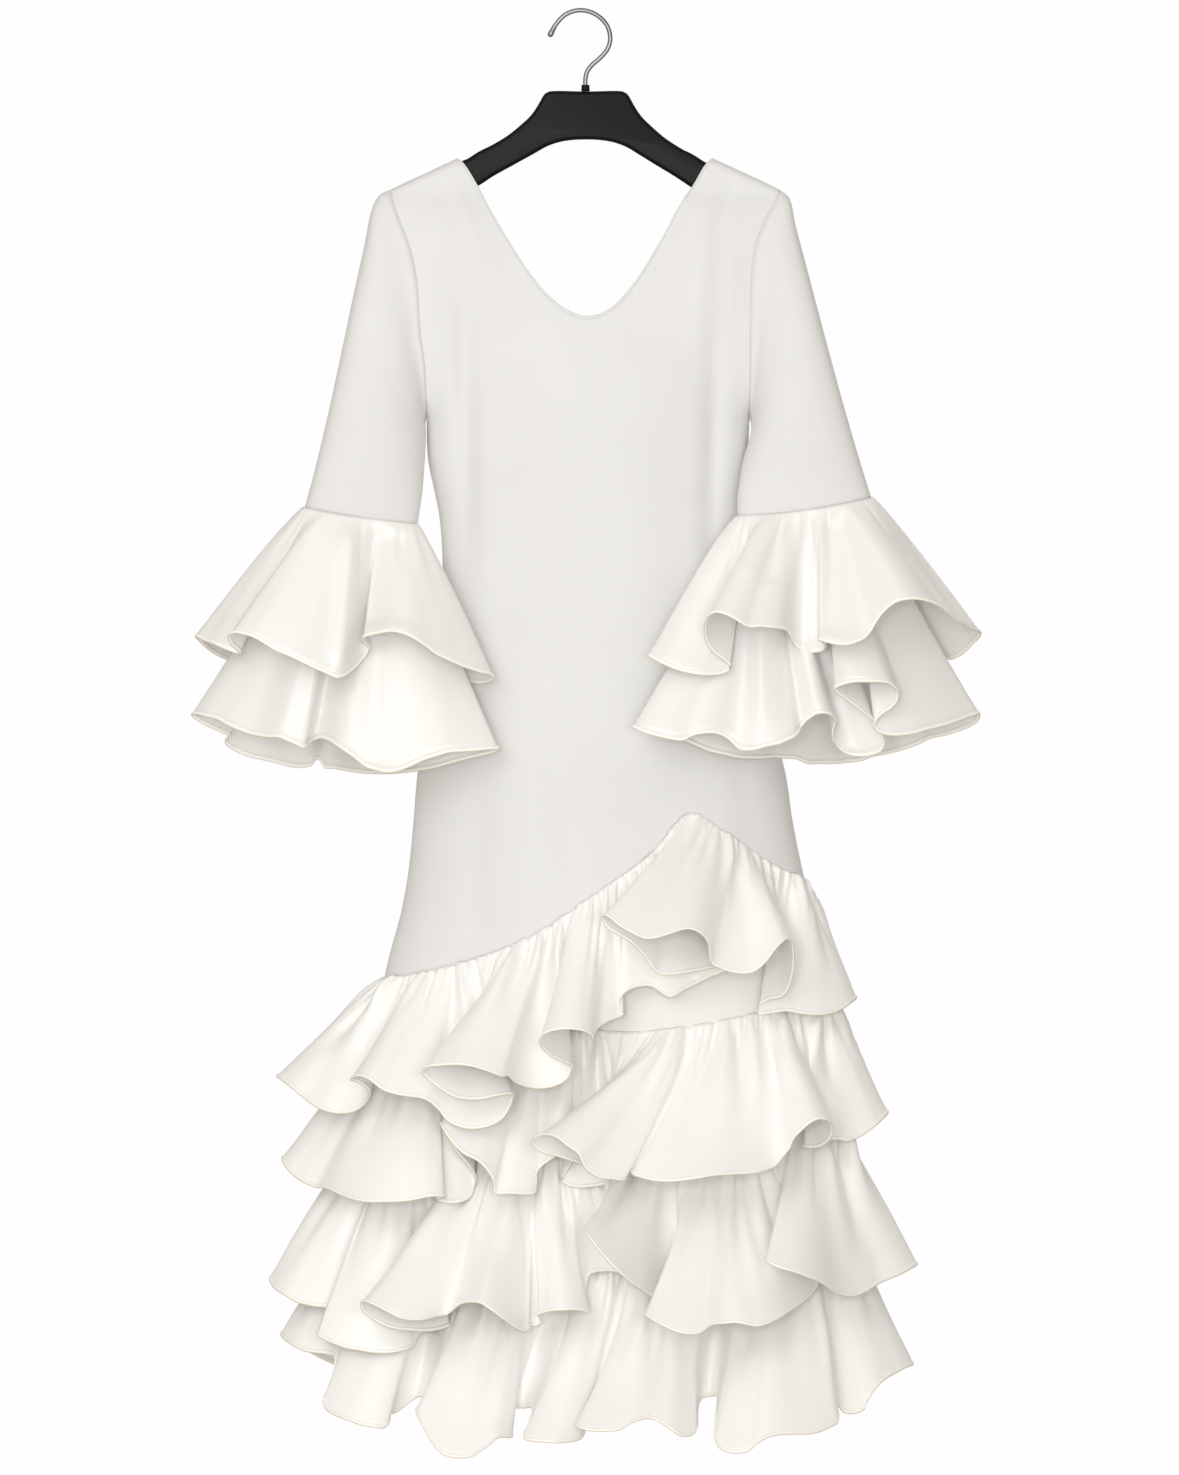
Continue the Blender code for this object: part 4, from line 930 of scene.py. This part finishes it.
def fallen(points, v, draw, every, wide, high, top):
    """Longer soft troughs and ridges that run down from the seam and die out above the hem."""
    middle_row = points[len(points) // 2]
    steps = np.linalg.norm(np.roll(middle_row, -1, 0) - middle_row, axis=1)
    place = np.concatenate([[0.0], np.cumsum(steps)])
    total, place = place[-1], place[:-1]
    normal = outward(points)
    push = np.zeros(points.shape[:2])
    spot, sign = 0.0, 1
    while spot < total - every * 0.5:
        spot += every * draw.uniform(0.6, 1.5)
        sign = -sign if draw.random() < 0.8 else sign
        tall = high * draw.uniform(0.4, 1.2) * sign
        foot = draw.uniform(0.5, 1.0)
        lean = draw.uniform(-FALL_LEAN, FALL_LEAN)
        apart = np.abs(place[None, :] - spot - lean * (v[:, None] - 0.5))
        apart = np.minimum(apart, total - apart)
        spread = wide * draw.uniform(0.7, 1.3) * (RIDGE_WIDER if sign > 0 else TROUGH_NARROWER)
        spread = spread * (0.45 + 0.9 * v[:, None])
        swell = np.clip(v / foot, 0, 1)
        swell = (1 - swell) ** 1.1 * np.clip(top + swell * 4, 0, 1)
        push += tall * np.exp(-((apart / spread) ** 2)) * swell[:, None]
    return points + normal * push[..., None]


def tucked(points, inward, up):
    """A first row that turns in and up to the seam."""
    first = points[0] + inward
    first[:, 1] -= up
    return np.concatenate([first[None], points], axis=0)


def along_edge(points):
    """The last row of a closed cloth, which way it falls there, and the way out from its face."""
    edge = points[-1]
    fall = edge - points[-2]
    fall /= np.linalg.norm(fall, axis=1, keepdims=True)
    run = np.roll(edge, -1, 0) - np.roll(edge, 1, 0)
    run /= np.maximum(np.linalg.norm(run, axis=1, keepdims=True), 1e-9)
    face = np.cross(run, fall)
    face /= np.maximum(np.linalg.norm(face, axis=1, keepdims=True), 1e-9)
    return edge, fall, face


def cord(name, middle, fall, face, high, thick, sides, finish):
    """A closed cord with an oval section."""
    turns = [2 * math.pi * n / sides for n in range(sides)]
    rings = [middle + fall * math.cos(a) * high + face * math.sin(a) * thick for a in turns]
    tube = np.stack(rings, axis=1)
    place = np.stack([tube[..., 0] + CENTRE_X, -tube[..., 2], -tube[..., 1]], -1) * MM
    faces = quads(len(middle), sides, True, True)
    piece = mesh_piece(name, place.reshape(-1, 3).tolist(), faces, finish)
    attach(piece, "root")
    return piece


def rolled_hem(name, points):
    """The cloth's edge rolled and bound with a fine thread: the roll painted lighter (painted highlight),
    the thread's tan made deeper to also stand for the shade under the roll (painted shade).
    """
    edge, fall, face = along_edge(points)
    high = edge - fall * (HEM_UP * HEM_HIGH)
    low = edge + fall * (THREAD_DOWN * HEM_HIGH)
    fine = THREAD_THICK
    roll = cord(f"{name}_hem", high, fall, face, HEM_HIGH, HEM_THICK, HEM_SIDES, LIT_HEM_CREPE)
    thread = cord(f"{name}_hem_thread_and_painted_shade", low, fall, face, fine, fine, THREAD_SIDES, HEM_THREAD_AND_SHADE)
    return [roll, thread]


def skirt_ruffle(number):
    start = Vector((*TIER_START[number], 0))
    end = Vector((*TIER_END[number], 0))
    front_points = front_hem(number)
    control = [start] + front_points + [end] + back_hem(number)
    hem, marks = through(control, HEM_STEP, True)
    turn = marks[len(front_points) + 1]
    front_line = [point for point, _ in seam_curve(TIER_SEAM[number])]
    back_line = [Vector((p.x, p.y, -p.z)) for p, _ in seam_curve(BACK_SEAM[number])]
    seam = along(front_line, shares_between(hem, 0, turn))[:-1]
    around = shares_between(hem + [hem[0]], turn, len(hem))
    seam += along(back_line[::-1], around)[:-1]
    points, v = falling_cloth(hem, seam, FLARE[number], RUFFLE_ROWS)
    inward = np.array([(-p.x / SKIRT_WIDE, 0, -p.z / SKIRT_DEEP) for p in seam])
    inward *= TUCK_IN / np.linalg.norm(inward, axis=1, keepdims=True)
    draw = random.Random(10 + number)
    points = fallen(points, v, draw, *FALL)
    points = gather(points, v, draw, GATHER_EVERY, GATHER_DEEP, GATHER_REACH)
    points = tucked(points, inward, TUCK_UP)
    cloth = cloth_piece(f"ruffle_{number}", points, True, LIT_RUFFLE_CREPE, RUFFLE_CLOTH)
    stands_for(cloth, f"skirt_ruffle_{number}")
    edges = rolled_hem(f"ruffle_{number}", points)


for number in (1, 2, 3, 4):
    skirt_ruffle(number)

# ---------------------------------------------------------------- sleeves
# Plain set-in sleeves of the body's crepe, sewn into the armholes and cut wide at the cuff.
# They hang nearly flat, from the shoulders to just below the elbows.

# Rings from the armhole to the cuff: outer x, down; inner x, down; half depth,
# fore of the middle, share of the armhole's curve.
SLEEVE = {
    "left": [
        (-195, 177, -159, 402, 30, 0, 1.0),
        (-206, 182, -161, 410, 31, 0, 0.7),
        (-214, 197, -160.5, 418, 33, 2, 0.4),
        (-221, 232, -160.5, 428, 35, 6, 0.15),
        (-232, 282, -161, 440, 35, 12, 0),
        (-244, 340, -162, 456, 34, 20, 0),
        (-258, 405, -163.5, 476, 31, 29, 0),
        (-271, 460, -166, 495, 27, 38, 0),
        (-281, 497.5, -169, 514, 24, 45, 0),
    ],
    "right": [
        (193, 177, 163, 402, 30, 0, 1.0),
        (203, 185, 165, 409, 31, 1, 0.7),
        (209, 212, 165.5, 414, 33, 5, 0.4),
        (219, 250, 165, 420, 34, 11, 0.15),
        (232, 300, 162.5, 430, 34, 20, 0),
        (246, 353, 158, 446, 33, 29, 0),
        (260, 404, 154, 467, 30, 37, 0),
        (274, 452, 151.5, 488, 27, 42, 0),
        (285, 487.5, 152, 506, 24, 45, 0),
    ],
}
SLEEVE_COLUMNS, SLEEVE_STEP = 96, 5.0
SLEEVE_FLAT = 0.24  # how much flatter than an oval they lie


def cuff_bow(t, side):
    """The cuff seam dips a little between its ends."""
    return (2.0 if side == "left" else 4.0) * math.sin(math.pi * t)


def sleeve_ring(row, side, count, grow=0.0, lower=0.0, cuff=0.0):
    outer_x, outer_d, inner_x, inner_d, half, fore, bow = row
    edge = 1 if side == "left" else 2
    ring = []
    for n in range(count):
        turn = 2 * math.pi * n / count
        t = (1 - math.cos(turn)) / 2
        x = outer_x + (inner_x - outer_x) * t
        down = outer_d + (inner_d - outer_d) * t
        full = math.copysign(abs(math.sin(turn)) ** (1 - SLEEVE_FLAT * (1 - bow)), math.sin(turn))
        deep = fore + (half + grow) * full
        if bow > 0:
            first = SLEEVE[side][0]
            chord = first[0] + (first[2] - first[0]) * t
            level = SHOULDER_TIP + (UNDERARM - SHOULDER_TIP) * t
            x += bow * (at(BODY_WIDE, level, edge) - chord)
        x += grow * math.cos(turn) * (-1 if side == "left" else 1)
        down += cuff * cuff_bow(t, side) + lower
        ring.append(Vector((x, down, deep)))
    return ring


def sleeve_cloth(side):
    rows = np.array(SLEEVE[side], float)
    rises = np.linalg.norm(np.diff(rows[:, :4], axis=0), axis=1) / math.sqrt(2)
    place = np.concatenate([[0.0], np.cumsum(rises)])
    spots = np.linspace(0, place[-1], int(place[-1] / SLEEVE_STEP) + 1)
    columns = []
    for k in range(rows.shape[1]):
        curve, _ = through([Vector((p, value, 0)) for p, value in zip(place, rows[:, k])], 3.0, False)
        columns.append(np.interp(spots, [c.x for c in curve], [c.y for c in curve]))
    grid = []
    for n in range(len(spots)):
        row = tuple(column[n] for column in columns)
        share = n / (len(spots) - 1)
        ring = sleeve_ring(row, side, SLEEVE_COLUMNS, cuff=max(0.0, share * 4 - 3))
        if side == "right":
            ring = [ring[0]] + ring[:0:-1]
        grid.append([tuple(p) for p in ring])
    cloth = cloth_piece(f"{side}_sleeve_cloth", grid, True, SHADED_CREPE)
    stands_for(cloth, f"{side}_sleeve")


for side in ("left", "right"):
    sleeve_cloth(side)

# ---------------------------------------------------------------- cuff flounces
# Two flared flounces on each cuff, the upper one over the lower, cut as rings so that
# they need no gathers, with the same rolled hem.

# Closed hems, from the outer tip (left sleeve) or inner tip (right sleeve) by the front and
# back again, a row to each stretch: x, down, fore.
FLOUNCE_START = {
    "left_upper": (-390, 623, 24),
    "left_lower": (-394, 702, 14),
    "right_upper": (62, 643, 94),
    "right_lower": (46, 714, 102),
}
FLOUNCE_LEGS = {
    "left_upper": [
        (-380, 628, 42,  -371, 631, 55,  -362, 635, 63,  -354, 638, 67,  -346, 641, 68),
        (-347, 637, 76,  -352, 633, 84,  -355, 628, 93,  -356, 624, 99),
        (-354, 622, 104,  -350, 620, 108,  -343, 621, 113,  -332, 624, 120,  -321, 630, 125,
         -310, 637, 129,  -298, 642, 131,  -287, 647, 132,  -275, 653, 131,  -264, 658, 129,
         -255, 662, 127,  -248, 665, 126,  -242, 664, 121,
         -237, 661, 114,  -232, 657, 106,  -227, 652, 99,  -222, 646, 93,  -217, 640, 90),
        (-216, 635, 95,  -221, 630, 104,  -221, 625, 114,  -212, 622, 122,  -202, 620, 129,
         -195, 619, 133,  -186, 620, 136,  -177, 623, 138,  -168, 628, 138,  -159, 634, 136,
         -150, 641, 133,  -140, 646, 129,  -131, 650, 125,  -122, 654, 120,  -113, 657, 115,
         -104, 660, 109,  -97, 661, 102,  -92, 665, 95),
        (-95, 668, 84,  -102, 670, 72,  -111, 670, 64,  -119, 667, 58,  -127, 662, 53,  -140, 657, 47,
         -154, 653, 42,  -168, 650, 36,  -182, 647, 28,  -195, 644, 18,  -210, 642, 4,  -225, 640, -10,
         -244, 646, -34,  -262, 650, -42,  -292, 652, -34,  -318, 648, -22),
        (-336, 652, -28,  -346, 652, -32,  -360, 646, -24,  -372, 640, -14,  -383, 631, 6),
    ],
    "left_lower": [
        (-388, 701, 26,  -380, 703, 36,  -368, 706, 46,  -357, 712, 55,  -345, 717, 62,  -334, 721, 68,
         -324, 723, 76,  -315, 724, 84,  -306, 724, 90,  -296, 728, 92,  -287, 732, 91,  -281, 735, 87),
        (-278, 732, 78,  -273, 728, 70,  -269, 726, 68,  -264, 725, 73,  -259, 726, 80,  -252, 730, 89,
         -243, 736, 97,  -234, 742, 101,  -225, 749, 103,  -218, 754, 104,  -208, 757, 106,  -199, 759, 109,
         -190, 758, 111,  -180, 755, 112,  -169, 750, 113,  -160, 746, 113,  -150, 743, 113,
         -136, 739, 112,  -122, 738, 109,  -108, 737, 105,  -97, 736, 101,  -87, 736, 95),
        (-92, 739, 86,  -104, 742, 80,  -125, 747, 75,  -150, 754, 68,  -167, 757, 58,  -182, 759, 48,
         -198, 760, 36,  -214, 760, 22,  -228, 759, 8,  -241, 757, -4,  -252, 755, -12,  -262, 754, -14,
         -266, 747, -14,  -270, 746, -18,  -275, 752, -24),
        (-288, 754, -28,  -301, 752, -28,  -311, 749, -26,  -325, 746, -28,  -338, 743, -28,
         -350, 738, -26,  -359, 732, -20,  -361, 728, -14,  -357, 723, -8),
        (-364, 719, -4,  -373, 715, 0,  -385, 709, 6),
    ],
    "right_upper": [
        (69, 647, 102,  79, 652, 108,  91, 657, 111,  103, 660, 111,  116, 662, 109,  125, 662, 106,
         135, 661, 103,  143, 657, 101,  144, 654, 100),
        (138, 648, 104,  130, 642, 109,  124, 636, 114,  120, 629, 119,  118, 621, 125,  118, 613, 132,
         120, 606, 138,  124, 602, 143,  130, 600, 147,  138, 602, 150,  145, 605, 152,  153, 610, 151,
         160, 614, 147),
        (166, 615, 145,  172, 614, 143,  182, 615, 139,  192, 616, 131,  199, 618, 118,
         203, 623, 104,  206, 630, 93,  212, 636, 86,  222, 639, 84,  231, 639, 89,  237, 637, 98,
         238, 633, 110,  235, 629, 121,  231, 627, 129),
        (234, 628, 134,  241, 630, 138,  251, 632, 140,  261, 632, 139,  271, 629, 136,  278, 625, 133,
         284, 618, 131,  289, 609, 132,  294, 602, 134,  302, 594, 138,  310, 589, 141,  320, 587, 142,
         330, 587, 139,  340, 589, 134,  350, 593, 126,  360, 600, 114,  368, 607, 101,  377, 612, 86,
         384, 616, 70,  390, 618, 56,  394, 620, 44),
        (392, 625, 26,  386, 631, 12,  377, 640, 0,  364, 646, -12,  357, 641, -24,  350, 626, -34,
         343, 612, -40,  332, 608, -44,  315, 610, -45,  300, 613, -44,  287, 622, -40,  272, 636, -38,
         256, 645, -34,  240, 650, -26,  225, 651, -17,  208, 650, -8,  194, 651, 4,  180, 654, 14,
         165, 655, 25,  150, 656, 34,  136, 657, 41,  122, 657, 46,  106, 656, 54,  90, 653, 62,
         76, 648, 74),
    ],
    "right_lower": [
        (51, 716, 108,  60, 720, 113,  72, 723, 116,  85, 726, 116,  97, 727, 114,  103, 724, 113,
         111, 721, 113,  119, 720, 112,  128, 720, 110,  135, 722, 107,  142, 726, 105,  147, 731, 105,
         153, 736, 107,  161, 737, 110,  170, 736, 113,  180, 733, 114,  191, 731, 113,  201, 727, 110,
         209, 723, 105),
        (212, 719, 99,  214, 715, 95,  217, 711, 95,  219, 708, 97,  223, 705, 99,  229, 701, 102,
         234, 700, 103,  241, 701, 99,  246, 704, 92,  249, 709, 84,  247, 717, 74,  247, 726, 66,
         252, 735, 60,  261, 741, 56,  272, 743, 55,  284, 742, 58,  294, 738, 62,  298, 731, 67,
          296, 723, 73,  291, 714, 80,  282, 704, 87,  272, 696, 94,  263, 689, 99,  256, 684, 104,
          250, 680, 108,  248, 676, 111),
        (252, 673, 115,  258, 671, 118,  268, 669, 120,  278, 669, 120,  288, 669, 118,  299, 670, 113,
         306, 674, 107,  311, 680, 101,  310, 688, 96,  304, 695, 92,  295, 701, 89,  289, 708, 88,
          288, 715, 87,  294, 720, 84,  304, 722, 81,  315, 722, 77,  328, 720, 71,  342, 716, 62,
          355, 713, 53,  368, 709, 43,  381, 704, 31,  393, 701, 18),
        (391, 708, 6,  382, 714, -2,  371, 718, -10,  358, 722, -18,  344, 725, -24,  332, 731, -28,
         317, 736, -26,  306, 739, -20,  296, 741, -20,  286, 743, -26,  276, 747, -29,  260, 749, -25,
         248, 750, -16,  234, 750, -6,  222, 750, 2,  209, 745, 10,  200, 745, 16,  188, 744, 26,
         176, 745, 40,  162, 745, 52,  150, 744, 62,  137, 741, 70,  124, 738, 76,  114, 734, 80,
         103, 729, 84,  90, 724, 88,  70, 718, 95),
    ],
}
# how far outside the cuff each begins, and how far above its edge
FLOUNCE_TOP = {"upper": (1.6, -3.0), "lower": (-1.8, 1.2)}
FLOUNCE_FLARE = {"upper": 0.95, "lower": 1.12}
FLOUNCE_FALL = (34.0, 12.0, 3.5, 0.0)
# strips between two folds where the cloth turns away: x and share of the fall at the top
# and at the foot, width, depth
FLOUNCE_STRIPS = {
    "left_upper": [(-232, 0.02, -243, 0.9, 28, 17)],
    "left_lower": [(-258, 0.3, -280, 1.0, 9, 9)],
    "right_upper": [(231, 0.02, 223, 0.92, 16, 11), (186, 0.02, 158, 0.6, 22, 6)],
    "right_lower": [(172, 0.35, 176, 0.85, 22, 7)],
}
# a strip's section: place across it in widths, and how far out it stands, in depths
STRIP_PLACES, STRIP_SECTION = (-1.4, -0.6, 0.0, 1.0, 2.2, 3.4), (0.0, 0.1, 0.4, -0.6, -0.25, 0.0)
STRIP_STARTS, STRIP_PAST, STRIP_ENDS = 0.2, 0.06, 0.1  # how softly it starts and ends
FLOUNCE_STEP, FLOUNCE_ROWS, CUFF_POINTS = 3.5, 28, 192
# painted light: the flounces' crepe is the same cloth as the body's, painted lighter than it and darker
# than the ruffles', for how much light the flounces catch
LIT_FLOUNCE_CREPE = crepe("flounce_crepe_painted_light", (0.885, 0.878, 0.862), (0.865, 0.856, 0.835), 0.36, 0.7, 0.1)


def with_strips(points, v, strips):
    """Each strip starts at a raised fold and slants back to the right, then comes out again."""
    front = points[..., 2] > points[..., 2].mean(axis=1, keepdims=True)
    for x0, v0, x1, v1, wide, deep in strips:
        along_fall = np.clip((v - v0) / (v1 - v0), 0, 1)[:, None]
        s = (points[..., 0] - x0 - (x1 - x0) * along_fall) / wide
        reach = np.clip(along_fall / STRIP_STARTS, 0, 1)
        reach = reach * np.clip((v1 + STRIP_PAST - v[:, None]) / STRIP_ENDS, 0, 1)
        reach = reach**2 * (3 - 2 * reach)
        slant = np.interp(s, STRIP_PLACES, STRIP_SECTION)
        points[..., 2] += deep * reach * front * slant
    return points


def flounce(side, layer):
    name = f"{side}_{layer}"
    control = [Vector(FLOUNCE_START[name])]
    for row in FLOUNCE_LEGS[name]:
        control += [Vector(row[k : k + 3]) for k in range(0, len(row), 3)]
    hem, _ = through(control, FLOUNCE_STEP, True)
    grow, lower = FLOUNCE_TOP[layer]
    ring = sleeve_ring(SLEEVE[side][-1], side, CUFF_POINTS, grow, lower, 1.0)
    # the ring starts at the outer end and goes by the front; right hems start at the inner end
    if side == "right":
        ring = ring[CUFF_POINTS // 2 :] + ring[: CUFF_POINTS // 2]
        ring = [ring[0]] + ring[:0:-1]
    line = ring + [ring[0]]
    # the front of the hem goes with the front of the cuff
    far = max(range(len(hem)), key=lambda n: (hem[n].x - hem[0].x) ** 2)
    half = len(ring) // 2
    seam = along(line[: half + 1], shares_between(hem, 0, far))[:-1]
    seam += along(line[half:], shares_between(hem + [hem[0]], far, len(hem)))[:-1]
    points, v = falling_cloth(hem, seam, [FLOUNCE_FLARE[layer]] * 3, FLOUNCE_ROWS)
    points = fallen(points, v, random.Random(name), *FLOUNCE_FALL)
    points = with_strips(points, v, FLOUNCE_STRIPS[name])
    cloth = cloth_piece(f"{name}_flounce", points, True, LIT_FLOUNCE_CREPE, RUFFLE_CLOTH)
    stands_for(cloth, f"{side}_cuff_flounce_{layer}")
    edges = rolled_hem(f"{name}_flounce", points)


for side in ("left", "right"):
    for layer in ("upper", "lower"):
        flounce(side, layer)
